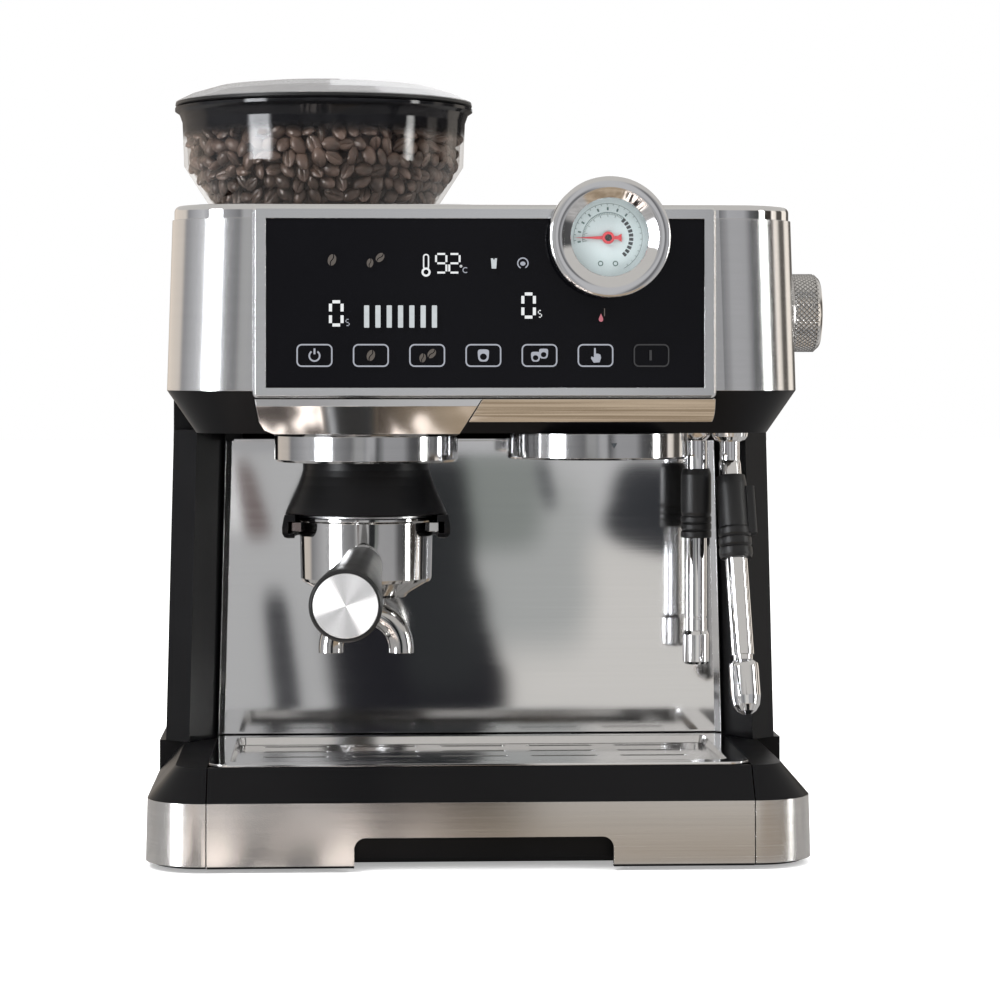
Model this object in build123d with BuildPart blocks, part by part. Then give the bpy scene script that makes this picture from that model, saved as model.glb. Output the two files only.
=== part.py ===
"""Bean-to-cup espresso machine with a grinder dock, a brew group and two wands.

Millimetres. X runs to the right, Y to the back and Z up. The origin is the
centre of the base footprint on the worktop.
"""
import os
from math import atan2, cos, degrees, hypot, radians, sin

from build123d import *

# Base and drip tray
BASE_W = 324.0
BASE_D = 310.0
BASE_R = 28.0
BASE_DRAFT = 1.5
FOOT_H = 1.5
FOOT_R = 12.0
FOOT_POCKET = 1.5
FOOT_X = 128.0
FOOT_Y = 122.0
BAND_Z = 3.0
SHOULDER_Z = 33.0
DECK_Z = 48.5
SHOULDER_INSET = 13.5
SHEET = 1.2
WALL = 3.0
BAY_HALF = 132.0
BAY_BACK = -14.0
BAY_FLOOR = 4.0
FLOOR_FRONT = -134.0
TRAY_HALF = 131.5
TRAY_WALL = 2.5
TRAY_BACK = -18.5
NOTCH_X = 1.2
NOTCH_W = 124.5
NOTCH_TOP = 16.3

# Tower behind the cup bay
TOWER_HALF = 158.0
TOWER_LEAN = 4.0
TOWER_FRONT = -37.0
TOWER_SHOULDER = -25.0
TOWER_BACK = 90.0
RIDGE_X = 145.5
PANEL_HALF = 131.0
PANEL_Y = -17.0
PANEL_TOP = 203.0

# Head over the cup bay
HEAD_X = 3.0
HEAD_FRONT = -132.0
HEAD_R = 40.0
SKIRT_Z = 209.0
SKIRT_INSET = 14.5
WRAP_Z = 230.0
WRAP_TOP = 314.0
COVER_TOP = 321.0
HEAD_HALF_LOW = 156.7
HEAD_HALF_HIGH = 154.0
FASCIA_X0 = -110.0
FASCIA_X1 = 114.8
FASCIA_Z0 = 226.6
FASCIA_Z1 = 319.4
GLASS_X0 = -103.7
GLASS_X1 = 109.0
GLASS_Z0 = 231.5
GLASS_Z1 = 313.6
FASCIA_FRONT = -138.0

# Axes of the working parts
GRIND_X = -55.0
GROUP_X = 61.0
GROUP_NECK_R = 29.0
DOCK_Y = -85.0
GAUGE_X = 61.4
GAUGE_Z = 304.0
GAUGE_R = 29.2
HOPPER_X = -76.6
HOPPER_Y = 10.0
KNOB_Y = -60.0
KNOB_Z = 269.0
KNOB_R = 20.0
KNOB_END = 176.0
STEAM_X = 129.0
STEAM_Y = -75.0
STEAM_BEND_Z = 192.0
STEAM_TIP = (134.0, -105.0, 69.0)
WATER_X = 112.4
WATER_Y = -70.0
TANK_FRONT = 92.0
TANK_BACK = 150.0
TANK_HALF = 140.0

# Portafilter parked under the grinder
FILTER_TURN = -3.1
HANDLE_DROOP = 3.0
HANDLE_Z = 146.5
HANDLE_REACH = 190.0


def level(z):
    """Horizontal plane at a height."""
    return Plane.XY.offset(z)


def facing(y):
    """Upright plane across the machine, seen from the front: local x, z."""
    return Plane(origin=(0, y, 0), x_dir=(1, 0, 0), z_dir=(0, -1, 0))


def side(x):
    """Upright plane along the machine, seen from the right: local y, z."""
    return Plane(origin=(x, 0, 0), x_dir=(0, 1, 0), z_dir=(1, 0, 0))


def spin_plane(x, y):
    """Upright plane through a vertical axis: local radius, z."""
    return Plane(origin=(x, y, 0), x_dir=(1, 0, 0), z_dir=(0, -1, 0))


def upright(x, y):
    """Vertical axis at a plan position."""
    return Axis((x, y, 0), (0, 0, 1))


def block(x0, x1, y0, y1, z0, z1, mode=Mode.ADD):
    """Box between two corners."""
    with BuildSketch(level(z0)) as outline:
        with Locations(((x0 + x1) / 2, (y0 + y1) / 2)):
            Rectangle(x1 - x0, y1 - y0)
    extrude(outline.sketch, amount=z1 - z0, mode=mode)


def post(x, y, z0, z1, radius, mode=Mode.ADD):
    """Upright cylinder between two heights."""
    with BuildSketch(level(z0)) as outline:
        with Locations((x, y)):
            Circle(radius)
    extrude(outline.sketch, amount=z1 - z0, mode=mode)


def barrel(x, z, y_back, y_front, radius, mode=Mode.ADD):
    """Cylinder along Y, from a back plane towards the front."""
    with BuildSketch(facing(y_back)) as outline:
        with Locations((x, z)):
            Circle(radius)
    extrude(outline.sketch, amount=y_back - y_front, mode=mode)


def turned(x, y, points, mode=Mode.ADD):
    """Solid of revolution about a vertical axis from radius, z points."""
    with BuildSketch(spin_plane(x, y)) as outline:
        with BuildLine():
            Polyline(*points, close=True)
        make_face()
    revolve(outline.sketch.faces(), axis=upright(x, y), mode=mode)


def rounded(z, half, y0, y1, radius, x=0.0):
    """Rounded rectangle at a height, given by its half width and its Y span."""
    with BuildSketch(level(z)) as sketch:
        with Locations((x, (y0 + y1) / 2)):
            RectangleRounded(2 * half, y1 - y0, radius)
    return sketch.sketch


HALF_W = BASE_W / 2
HALF_D = BASE_D / 2
BAND_H = SHOULDER_Z - BAND_Z
SHOULDER_H = DECK_Z - SHOULDER_Z
BAND_LEAN = BAND_H * sin(radians(BASE_DRAFT))
SHOULDER_HALF = HALF_W - BAND_LEAN
SHOULDER_FRONT = HALF_D - BAND_LEAN
SHOULDER_TAPER = degrees(atan2(SHOULDER_INSET, SHOULDER_H))
SERVICE_X = 148.0
SERVICE_Y0 = -6.0
SERVICE_Y1 = 84.0
LEDGE = 6.0
COVER_Z0 = 2.5
COVER_Z1 = 4.5
GLAND_X = -110.0
GLAND_Z = 22.0

# Black base moulding with the tray bay and the open service well
with BuildPart() as base_shell:
    extrude(rounded(FOOT_H, HALF_W - 4, -HALF_D + 4, HALF_D - 4, BASE_R - 4), amount=BAND_Z - FOOT_H)
    extrude(
        rounded(BAND_Z, HALF_W - SHEET, SHEET - HALF_D, HALF_D - SHEET, BASE_R - SHEET),
        amount=BAND_H, taper=BASE_DRAFT,
    )
    extrude(
        rounded(SHOULDER_Z, SHOULDER_HALF, -SHOULDER_FRONT, SHOULDER_FRONT, BASE_R),
        amount=SHOULDER_H, taper=SHOULDER_TAPER,
    )
    with BuildSketch(level(SHOULDER_Z)):
        with Locations((0, (TOWER_SHOULDER + SHOULDER_FRONT) / 2)):
            Rectangle(2 * SHOULDER_HALF, SHOULDER_FRONT - TOWER_SHOULDER)
    extrude(amount=SHOULDER_H)
    fillet(
        base_shell.edges().filter_by(Axis.Z).filter_by_position(
            Axis.Y, SHOULDER_FRONT - 1, SHOULDER_FRONT + 1
        ),
        radius=BASE_R - 2,
    )
    block(-BAY_HALF, BAY_HALF, -HALF_D - 1, BAY_BACK, BAY_FLOOR, DECK_Z + 1, Mode.SUBTRACT)
    block(-BAY_HALF, BAY_HALF, -HALF_D - 1, FLOOR_FRONT, 0, BAY_FLOOR, Mode.SUBTRACT)
    block(-SERVICE_X, SERVICE_X, SERVICE_Y0, SERVICE_Y1, COVER_Z1 + 2, DECK_Z + 1, Mode.SUBTRACT)
    block(
        LEDGE - SERVICE_X, SERVICE_X - LEDGE, SERVICE_Y0 + LEDGE, SERVICE_Y1 - LEDGE,
        0, DECK_Z, Mode.SUBTRACT,
    )
    block(-SERVICE_X, SERVICE_X, SERVICE_Y0, SERVICE_Y1, 0, COVER_Z1, Mode.SUBTRACT)
    for sx in (-1, 1):
        for sy in (-1, 1):
            post(sx * FOOT_X, sy * FOOT_Y, 0, FOOT_H + FOOT_POCKET, FOOT_R, Mode.SUBTRACT)
    barrel(GLAND_X, GLAND_Z, HALF_D + 1, HALF_D - 14, 7.0, Mode.SUBTRACT)

# Stainless band round the sides and the back of the base
with BuildPart() as base_band:
    extrude(rounded(BAND_Z, HALF_W, -HALF_D, HALF_D, BASE_R), amount=BAND_H, taper=BASE_DRAFT)
    extrude(
        rounded(BAND_Z, HALF_W - SHEET, SHEET - HALF_D, HALF_D - SHEET, BASE_R - SHEET),
        amount=BAND_H, taper=BASE_DRAFT, mode=Mode.SUBTRACT,
    )
    block(-BAY_HALF, BAY_HALF, -HALF_D - 1, -HALF_D + 9, 0, DECK_Z, Mode.SUBTRACT)
    barrel(GLAND_X, GLAND_Z, HALF_D + 1, HALF_D - 14, 9.5, Mode.SUBTRACT)

# Four rubber feet
with BuildPart() as rubber_feet:
    for sx in (-1, 1):
        for sy in (-1, 1):
            post(sx * FOOT_X, sy * FOOT_Y, 0, FOOT_H + FOOT_POCKET, FOOT_R)

# Vented cover under the service well
with BuildPart() as bottom_cover:
    block(0.5 - SERVICE_X, SERVICE_X - 0.5, SERVICE_Y0 + 0.5, SERVICE_Y1 - 0.5, COVER_Z0, COVER_Z1)
    with BuildSketch(level(COVER_Z0)):
        with Locations((0, (SERVICE_Y0 + SERVICE_Y1) / 2)):
            with GridLocations(40, 11, 5, 5):
                SlotOverall(30, 4)
    extrude(amount=WALL, mode=Mode.SUBTRACT)

# Strain relief for the mains lead
with BuildPart() as cord_gland:
    barrel(GLAND_X, GLAND_Z, HALF_D - 0.4, HALF_D - 13.5, 6.9)
    barrel(GLAND_X, GLAND_Z, HALF_D, HALF_D - 1, 9.2)
    barrel(GLAND_X, GLAND_Z, HALF_D + 0.1, HALF_D - 10, 3.6, Mode.SUBTRACT)


def tower_plan(z, lean):
    """Wall section of both tower sides with their prow-shaped front corners."""
    points = (
        (TOWER_HALF, TOWER_BACK),
        (TOWER_HALF, TOWER_SHOULDER),
        (RIDGE_X, TOWER_FRONT),
        (PANEL_HALF + 0.8, PANEL_Y - 0.2),
        (PANEL_HALF + 0.8, PANEL_Y + SHEET),
        (PANEL_HALF - 8, PANEL_Y + SHEET),
        (PANEL_HALF - 8, PANEL_Y + SHEET + WALL),
        (TOWER_HALF - WALL, PANEL_Y + SHEET + WALL),
        (TOWER_HALF - WALL, TOWER_BACK),
    )
    return [(x - lean, y, z) for x, y in points]


def ruled_prism(low, high):
    """Straight-sided solid between two outlines with matching corners."""
    sections = []
    for outline in (low, high):
        with BuildSketch(level(outline[0][2])) as sketch:
            with BuildLine():
                Polyline(*[(x, y) for x, y, _ in outline], close=True)
            make_face()
        sections.append(sketch.sketch)
    loft(sections, ruled=True)


# Black tower: two leaning sides joined by a frame under the head
with BuildPart() as tower_shell:
    ruled_prism(tower_plan(DECK_Z, 0), tower_plan(SKIRT_Z, TOWER_LEAN))
    mirror(about=Plane.YZ)
    tower_top = TOWER_HALF - TOWER_LEAN
    block(-tower_top, tower_top, TOWER_SHOULDER, TOWER_BACK, SKIRT_Z, WRAP_Z)
    block(
        WALL - tower_top, tower_top - WALL, TOWER_SHOULDER + WALL, TOWER_BACK + 1,
        SKIRT_Z - 1, WRAP_Z + 1, Mode.SUBTRACT,
    )

def panel_plan(z, lean):
    """Thin section with both side edges folded forward."""
    fold = 3.0
    right = (
        (PANEL_HALF - fold, PANEL_Y),
        (PANEL_HALF, PANEL_Y - fold),
        (PANEL_HALF + 0.7, PANEL_Y - fold + 0.7),
        (PANEL_HALF - fold + 0.4, PANEL_Y + 1.1),
    )
    half = [(x - lean, y, z) for x, y in right]
    return half + [(-x, y, z) for x, y, z in reversed(half)]


# Polished splash panel with turned edges and a top flange
with BuildPart() as splash_panel:
    panel_z0 = DECK_Z + 2
    panel_lean = TOWER_LEAN * (PANEL_TOP - DECK_Z) / (SKIRT_Z - DECK_Z)
    ruled_prism(panel_plan(panel_z0, 0), panel_plan(PANEL_TOP, panel_lean))
    block(
        -PANEL_HALF + 8, PANEL_HALF - 8, PANEL_Y - 6, PANEL_Y + 1.1, PANEL_TOP - 0.1, PANEL_TOP + 1.1
    )

# Wall between the tower and the water tank
with BuildPart() as rear_wall:
    wall_low = TOWER_HALF - WALL - 0.3
    wall_mid = wall_low - TOWER_LEAN
    head_low = HEAD_HALF_LOW - SHEET - 0.6
    head_high = HEAD_HALF_HIGH - SHEET - 0.6
    with BuildSketch(facing(TOWER_BACK)):
        with BuildLine():
            Polyline(
                (-wall_low, DECK_Z), (wall_low, DECK_Z), (wall_mid, SKIRT_Z), (wall_mid, WRAP_Z),
                (HEAD_X + head_low, WRAP_Z), (HEAD_X + head_high, WRAP_TOP),
                (HEAD_X - head_high, WRAP_TOP), (-wall_mid, WRAP_Z), (-wall_mid, SKIRT_Z),
                close=True,
            )
        make_face()
    extrude(amount=WALL)
    with BuildSketch(facing(TOWER_BACK)):
        with Locations((0, 262)):
            with GridLocations(26, 10, 8, 4):
                SlotOverall(20, 4)
    extrude(amount=WALL, mode=Mode.SUBTRACT)


def head_loft(z0, half0, z1, half1, inset, mode=Mode.ADD):
    """Tapered head volume between two heights, open-ended behind the tower line."""
    reach = TOWER_BACK + 60
    low = rounded(
        z0, half0 - inset, HEAD_FRONT + inset, reach, HEAD_R - inset, HEAD_X
    )
    high = rounded(
        z1, half1 - inset, HEAD_FRONT + inset, reach, HEAD_R - inset, HEAD_X
    )
    loft([low, high], ruled=True, mode=mode)


WINDOW = 6.0

# Brushed stainless wrap of the head
with BuildPart() as head_wrap:
    head_loft(WRAP_Z, HEAD_HALF_LOW, WRAP_TOP, HEAD_HALF_HIGH, 0)
    head_loft(WRAP_Z, HEAD_HALF_LOW, WRAP_TOP, HEAD_HALF_HIGH, SHEET, Mode.SUBTRACT)
    block(-200, 200, TOWER_BACK, TOWER_BACK + 80, WRAP_Z - 1, WRAP_TOP + 1, Mode.SUBTRACT)
    block(
        GLASS_X0 + WINDOW, GLASS_X1 - WINDOW, HEAD_FRONT - 1, HEAD_FRONT + SHEET + 0.3,
        GLASS_Z0 + WINDOW, GLASS_Z1 - WINDOW, Mode.SUBTRACT,
    )
    barrel(GAUGE_X, GAUGE_Z, HEAD_FRONT + 4, HEAD_FRONT - 1, 27.0, Mode.SUBTRACT)
    with BuildSketch(side(HEAD_X + 120)):
        with Locations((KNOB_Y, KNOB_Z)):
            Circle(7)
    extrude(amount=60, mode=Mode.SUBTRACT)

# Black skirt under the head


def skirt_volume(inset, z_low, mode=Mode.ADD):
    """Funnel-shaped underside of the head."""
    drop = SKIRT_INSET * (WRAP_Z - z_low) / (WRAP_Z - SKIRT_Z)
    sections = []
    for z, shrink in ((z_low, drop), (WRAP_Z, 0.0)):
        sections.append(
            rounded(
                z, HEAD_HALF_LOW - shrink - inset, HEAD_FRONT + shrink + inset,
                TOWER_BACK, HEAD_R - shrink - inset, HEAD_X,
            )
        )
    loft(sections, ruled=True, mode=mode)


with BuildPart() as head_skirt:
    skirt_volume(0, SKIRT_Z)
    skirt_volume(WALL, SKIRT_Z + WALL, Mode.SUBTRACT)
    block(-200, 200, TOWER_SHOULDER, TOWER_BACK + 10, SKIRT_Z - 1, WRAP_Z + 1, Mode.SUBTRACT)
    post(GROUP_X, DOCK_Y, SKIRT_Z - 1, SKIRT_Z + WALL + 1, GROUP_NECK_R, Mode.SUBTRACT)
    post(GRIND_X, DOCK_Y, SKIRT_Z - 1, SKIRT_Z + WALL + 1, 26.0, Mode.SUBTRACT)
    post(STEAM_X, STEAM_Y, SKIRT_Z - 1, SKIRT_Z + WALL + 1, 5.4, Mode.SUBTRACT)
    post(WATER_X, WATER_Y, SKIRT_Z - 1, SKIRT_Z + WALL + 1, 8.2, Mode.SUBTRACT)

# Polished top cover with a cup rail recess and the hopper seat
SEAT_R = 48.0
NECK_R = 34.0
with BuildPart() as top_cover:
    cover_half = HEAD_HALF_HIGH - 1
    extrude(
        rounded(WRAP_TOP, cover_half, HEAD_FRONT + 1, TOWER_BACK + 60, HEAD_R - 1, HEAD_X),
        amount=COVER_TOP - WRAP_TOP,
    )
    block(-200, 200, TOWER_BACK, TOWER_BACK + 80, WRAP_TOP - 1, COVER_TOP + 1, Mode.SUBTRACT)
    fillet(top_cover.faces().sort_by(Axis.Z)[-1].edges(), radius=3)
    extrude(
        rounded(COVER_TOP - 2, cover_half - 8, HEAD_FRONT + 9, TOWER_BACK - 6, HEAD_R - 9, HEAD_X),
        amount=4, mode=Mode.SUBTRACT,
    )
    extrude(
        rounded(WRAP_TOP - 1, cover_half - 6, HEAD_FRONT + 7, TOWER_BACK - 4, HEAD_R - 7, HEAD_X),
        amount=COVER_TOP - WRAP_TOP - 2.6, mode=Mode.SUBTRACT,
    )
    post(HOPPER_X, HOPPER_Y, WRAP_TOP, COVER_TOP + 1.2, SEAT_R)
    post(HOPPER_X, HOPPER_Y, WRAP_TOP - 1, COVER_TOP + 2, NECK_R + 0.4, Mode.SUBTRACT)
    barrel(GAUGE_X, GAUGE_Z, -99.5, HEAD_FRONT - 2, 26.8, Mode.SUBTRACT)

# Satin frame and black touch glass
with BuildPart() as fascia_frame:
    with BuildSketch(facing(HEAD_FRONT - 0.2)):
        with Locations(((FASCIA_X0 + FASCIA_X1) / 2, (FASCIA_Z0 + FASCIA_Z1) / 2)):
            RectangleRounded(FASCIA_X1 - FASCIA_X0, FASCIA_Z1 - FASCIA_Z0, 2.5)
    extrude(amount=HEAD_FRONT - 0.2 - FASCIA_FRONT)
    chamfer(fascia_frame.faces().sort_by(Axis.Y)[0].edges(), length=1.2)
    block(GLASS_X0, GLASS_X1, -150, -120, GLASS_Z0, GLASS_Z1, Mode.SUBTRACT)
    barrel(GAUGE_X, GAUGE_Z, -120, -150, 27.0, Mode.SUBTRACT)

with BuildPart() as touch_glass:
    block(
        GLASS_X0 + 0.1, GLASS_X1 - 0.1, FASCIA_FRONT + 1, HEAD_FRONT - 1.2,
        GLASS_Z0 + 0.1, GLASS_Z1 - 0.1,
    )
    barrel(GAUGE_X, GAUGE_Z, -120, -150, 27.0, Mode.SUBTRACT)

with BuildPart() as display_board:
    block(-94, 99, HEAD_FRONT - 1.2, HEAD_FRONT + 0.4, 240, 274)
    for bx in (-80, -40, 0, 40, 80):
        block(bx - 6, bx + 6, HEAD_FRONT + 0.4, HEAD_FRONT + 4, 252, 262)


def apron(points, x_slant, z_low):
    """Polished wedge below the frame, shaped to the funnel behind it."""
    with BuildSketch(facing(HEAD_FRONT + 26)) as front:
        with BuildLine():
            Polyline(*points, close=True)
        make_face()
    extrude(front.sketch, amount=32)
    with BuildSketch(side(-200)) as slope:
        with BuildLine():
            Polyline(
                (HEAD_FRONT - 10, FASCIA_Z0 + 1), (HEAD_FRONT - 4.6, FASCIA_Z0 + 1),
                (HEAD_FRONT - 4.6, FASCIA_Z0 - 4), (HEAD_FRONT + x_slant, z_low - 1),
                (HEAD_FRONT - 10, z_low - 1), close=True,
            )
        make_face()
    extrude(slope.sketch, amount=400, mode=Mode.SUBTRACT)
    skirt_volume(0, SKIRT_Z - 2, Mode.SUBTRACT)
    block(-200, 200, HEAD_FRONT + SKIRT_INSET - 1, 0, SKIRT_Z - 3, WRAP_Z, Mode.SUBTRACT)


APRON_TOP = FASCIA_Z0 - 0.6
with BuildPart() as grinder_apron:
    apron(
        (
            (-109, APRON_TOP), (0.7, APRON_TOP), (-9.9, SKIRT_Z), (-100, SKIRT_Z),
            (-104.5, SKIRT_Z + 1.8), (-107, SKIRT_Z + 6),
        ),
        0.5, SKIRT_Z,
    )

with BuildPart() as brew_apron:
    apron(((1.2, APRON_TOP), (114.6, APRON_TOP), (113, 215), (-5.4, 215)), 7.0, 213.0)

# Steel collars under the head
with BuildPart() as grinder_collar:
    turned(
        GRIND_X, DOCK_Y,
        ((32, 194.4), (44.8, 194.4), (46, 195.6), (46, 207.4), (44.8, 208.8), (32, 208.8)),
    )

with BuildPart() as group_collar:
    turned(
        GROUP_X, DOCK_Y,
        ((42.2, 195.9), (44.5, 195.9), (45.5, 196.9), (45.5, 208.8), (42.2, 208.8)),
    )

# Dosing cradle: chute tube and the fork that carries the portafilter lugs
FORK = (
    (31.4, 191), (32.2, 187.5), (33.8, 183), (36.2, 177.5), (38.8, 172.2), (40.7, 167),
    (41.5, 162.5), (41.4, 159.4), (40.4, 157.5), (38.6, 156.8), (35.4, 157),
    (35.4, 159.4), (38.6, 159.4), (38.6, 165.2), (35.0, 165.2), (35.0, 169), (31.4, 169),
)
ARM_LENGTH = 22.0
NOSE_R = 6.0
FORK_LOW = 156.8
BRIM_Z = 168.5
ARM = [(40.2, BRIM_Z + 0.1)] + list(FORK[5:-2]) + [(35.0, BRIM_Z + 0.1)]
BELL = list(FORK[:5]) + [(40.2, BRIM_Z + 0.5), (39.6, BRIM_Z), (31.4, BRIM_Z)]
with BuildPart() as dosing_cradle:
    for mirrored in (1, -1):
        with BuildSketch(spin_plane(GRIND_X, DOCK_Y)):
            with BuildLine():
                Polyline(*[(mirrored * r, z) for r, z in ARM], close=True)
            make_face()
        extrude(amount=ARM_LENGTH)
    arm_front = DOCK_Y - ARM_LENGTH
    nose_slant = NOSE_R * (1 - cos(radians(45)))
    with BuildSketch(side(GRIND_X - 50)):
        with BuildLine():
            Polyline(
                (arm_front, FORK_LOW + NOSE_R), (arm_front - 1, FORK_LOW + NOSE_R),
                (arm_front - 1, FORK_LOW - 1), (arm_front + NOSE_R, FORK_LOW - 1),
                (arm_front + NOSE_R, FORK_LOW),
            )
            ThreePointArc(
                (arm_front + NOSE_R, FORK_LOW), (arm_front + nose_slant, FORK_LOW + nose_slant),
                (arm_front, FORK_LOW + NOSE_R),
            )
        make_face()
    extrude(amount=100, mode=Mode.SUBTRACT)
    with BuildSketch(spin_plane(GRIND_X, DOCK_Y)):
        with BuildLine():
            Polyline(*FORK, close=True)
        make_face()
    revolve(axis=upright(GRIND_X, DOCK_Y), revolution_arc=180)
    turned(GRIND_X, DOCK_Y, BELL)
    post(GRIND_X, DOCK_Y, 170, SKIRT_Z, 31.5)
    post(GRIND_X, DOCK_Y, 194.4, SKIRT_Z, 32.0)
    turned(
        GRIND_X, DOCK_Y,
        ((0, 169), (27.5, 169), (25.5, 185), (25.5, SKIRT_Z + 1), (0, SKIRT_Z + 1)),
        Mode.SUBTRACT,
    )

# Brew group
GROUP_R = 42.0
RAMP_HALF = 30
with BuildPart() as group_head:
    turned(
        GROUP_X, DOCK_Y,
        (
            (0, 206.8), (39.0, 206.8), (39.0, 196.6), (GROUP_R, 196.6), (GROUP_R, 208.8),
            (GROUP_NECK_R, 208.8), (GROUP_NECK_R, 232), (0, 232),
        ),
    )
    for heading in (0, 180):
        turn = Plane(
            origin=(GROUP_X, DOCK_Y, 0),
            x_dir=(cos(radians(heading - RAMP_HALF)), sin(radians(heading - RAMP_HALF)), 0),
            z_dir=(sin(radians(heading - RAMP_HALF)), -cos(radians(heading - RAMP_HALF)), 0),
        )
        with BuildSketch(turn):
            with BuildLine():
                Polyline((35.2, 197.4), (39.4, 197.4), (39.4, 200.6), (35.2, 199.6), close=True)
            make_face()
        revolve(axis=upright(GROUP_X, DOCK_Y), revolution_arc=2 * RAMP_HALF)
    post(GROUP_X, DOCK_Y, 206, 214, 2.6, Mode.SUBTRACT)

with BuildPart() as group_gasket:
    turned(GROUP_X, DOCK_Y, ((30, 202), (35.5, 202), (36.6, 203), (36.6, 206.8), (30, 206.8)))

with BuildPart() as shower_screen:
    turned(
        GROUP_X, DOCK_Y,
        ((0, 203), (28.4, 203), (29.4, 204), (29.4, 206.8), (28.2, 206.8), (28.2, 204.2), (0, 204.2)),
    )
    with BuildSketch(level(202.5)):
        with Locations((GROUP_X, DOCK_Y)):
            for ring, count in ((8, 6), (14, 12), (20, 18), (25.5, 24)):
                with PolarLocations(ring, count):
                    Circle(0.9)
    extrude(amount=3, mode=Mode.SUBTRACT)
    post(GROUP_X, DOCK_Y, 202, 205, 2.6, Mode.SUBTRACT)

# Portafilter, built on its own turned frame
FILTER = Plane(
    origin=(GRIND_X, DOCK_Y, 0),
    x_dir=(cos(radians(FILTER_TURN)), sin(radians(FILTER_TURN)), 0),
    z_dir=(0, 0, 1),
)
FILTER_FACE = Plane(origin=FILTER.origin, x_dir=FILTER.x_dir, z_dir=-FILTER.y_dir)
HANDLE_DIR = -FILTER.y_dir * cos(radians(HANDLE_DROOP)) - FILTER.z_dir * sin(radians(HANDLE_DROOP))
HANDLE_AXIS = Axis(FILTER.origin + FILTER.z_dir * HANDLE_Z, HANDLE_DIR)
HANDLE_PLANE = Plane(origin=HANDLE_AXIS.position, x_dir=HANDLE_DIR, z_dir=FILTER.x_dir)
BORE_R = 30.8
LUG_R = 37.7

BODY_BOTTOM = 127.0
with BuildPart() as portafilter_body:
    with BuildSketch(FILTER_FACE):
        with BuildLine():
            Polyline(
                (BORE_R, 137), (BORE_R, 167), (33.9, 167), (34.2, 166.6), (34.2, 165.4),
                (33.3, 164.5), (32.7, 136.4), (31.9, 134.8), (21, 128.4), (20, BODY_BOTTOM),
                (0, BODY_BOTTOM), (0, 130), (20.5, 130.4), close=True,
            )
        make_face()
    revolve(axis=upright(GRIND_X, DOCK_Y))
    with BuildSketch(FILTER.offset(159.8)):
        Rectangle(2 * LUG_R, 19)
        Circle(LUG_R, mode=Mode.INTERSECT)
        Circle(32, mode=Mode.SUBTRACT)
    extrude(amount=4.4)
    with BuildSketch(Plane(origin=HANDLE_AXIS.position + HANDLE_DIR * 31.8, z_dir=HANDLE_DIR)):
        Circle(9.6)
    extrude(amount=13)
    with BuildSketch(FILTER.offset(BODY_BOTTOM - 1)):
        Circle(4.5)
    extrude(amount=6, mode=Mode.SUBTRACT)

with BuildPart() as filter_basket:
    with BuildSketch(FILTER_FACE):
        with BuildLine():
            Polyline(
                (0, 150.2), (28.0, 150.2), (29.2, 151.4), (29.8, 167), (33.4, 167), (33.4, 168),
                (29.0, 168), (28.4, 152), (27.4, 151), (0, 151), close=True,
            )
        make_face()
    revolve(axis=upright(GRIND_X, DOCK_Y))
    with BuildSketch(FILTER.offset(149.5)):
        for ring, count in ((5, 6), (10, 12), (15, 18), (20, 24), (25, 30)):
            with PolarLocations(ring, count):
                Circle(0.7)
    extrude(amount=3, mode=Mode.SUBTRACT)

with BuildPart() as portafilter_handle:
    with BuildSketch(HANDLE_PLANE):
        with BuildLine():
            Line((44.8, 0), (44.8, 10.2))
            Spline(
                (44.8, 10.2), (70, 10.9), (110, 12.6), (150, 14.6), (183, 16.2),
            )
            Polyline((183, 16.2), (HANDLE_REACH - 0.8, 16.3), (HANDLE_REACH, 15.5))
            Polyline(
                (HANDLE_REACH, 15.5), (HANDLE_REACH, 14.6), (HANDLE_REACH - 2, 14.6),
                (HANDLE_REACH - 2, 0), (44.8, 0),
            )
        make_face()
    revolve(axis=HANDLE_AXIS)

with BuildPart() as handle_cap:
    with BuildSketch(HANDLE_PLANE):
        with BuildLine():
            Polyline(
                (HANDLE_REACH - 2, 0), (HANDLE_REACH - 2, 14.5), (HANDLE_REACH - 0.2, 14.5),
                (HANDLE_REACH + 0.2, 14.0), (HANDLE_REACH + 0.2, 0), close=True,
            )
        make_face()
    revolve(axis=HANDLE_AXIS)

# Twin spout: half a ring of tube under the portafilter
ARCH_Z = 101.0
ARCH_R = 17.6
SPOUT_TIP_Z = 98.8
ARCH_PLANE = Plane(origin=FILTER.origin, x_dir=FILTER.x_dir, z_dir=-FILTER.y_dir)
with BuildPart() as portafilter_spout:
    with BuildLine(ARCH_PLANE):
        Line((-ARCH_R, SPOUT_TIP_Z), (-ARCH_R, ARCH_Z))
        ThreePointArc((-ARCH_R, ARCH_Z), (0, ARCH_Z + ARCH_R), (ARCH_R, ARCH_Z))
        Line((ARCH_R, ARCH_Z), (ARCH_R, SPOUT_TIP_Z))
    with BuildSketch(FILTER.offset(SPOUT_TIP_Z)):
        with Locations((-ARCH_R, 0)):
            Circle(6.2)
            Circle(4.2, mode=Mode.SUBTRACT)
    sweep()
    with BuildSketch(FILTER.offset(ARCH_Z + ARCH_R + 1)):
        Circle(9.0)
    extrude(amount=BODY_BOTTOM - ARCH_Z - ARCH_R - 1)
    with BuildSketch(FILTER.offset(ARCH_Z + ARCH_R - 2)):
        Circle(4.0)
    extrude(amount=22, mode=Mode.SUBTRACT)

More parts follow.
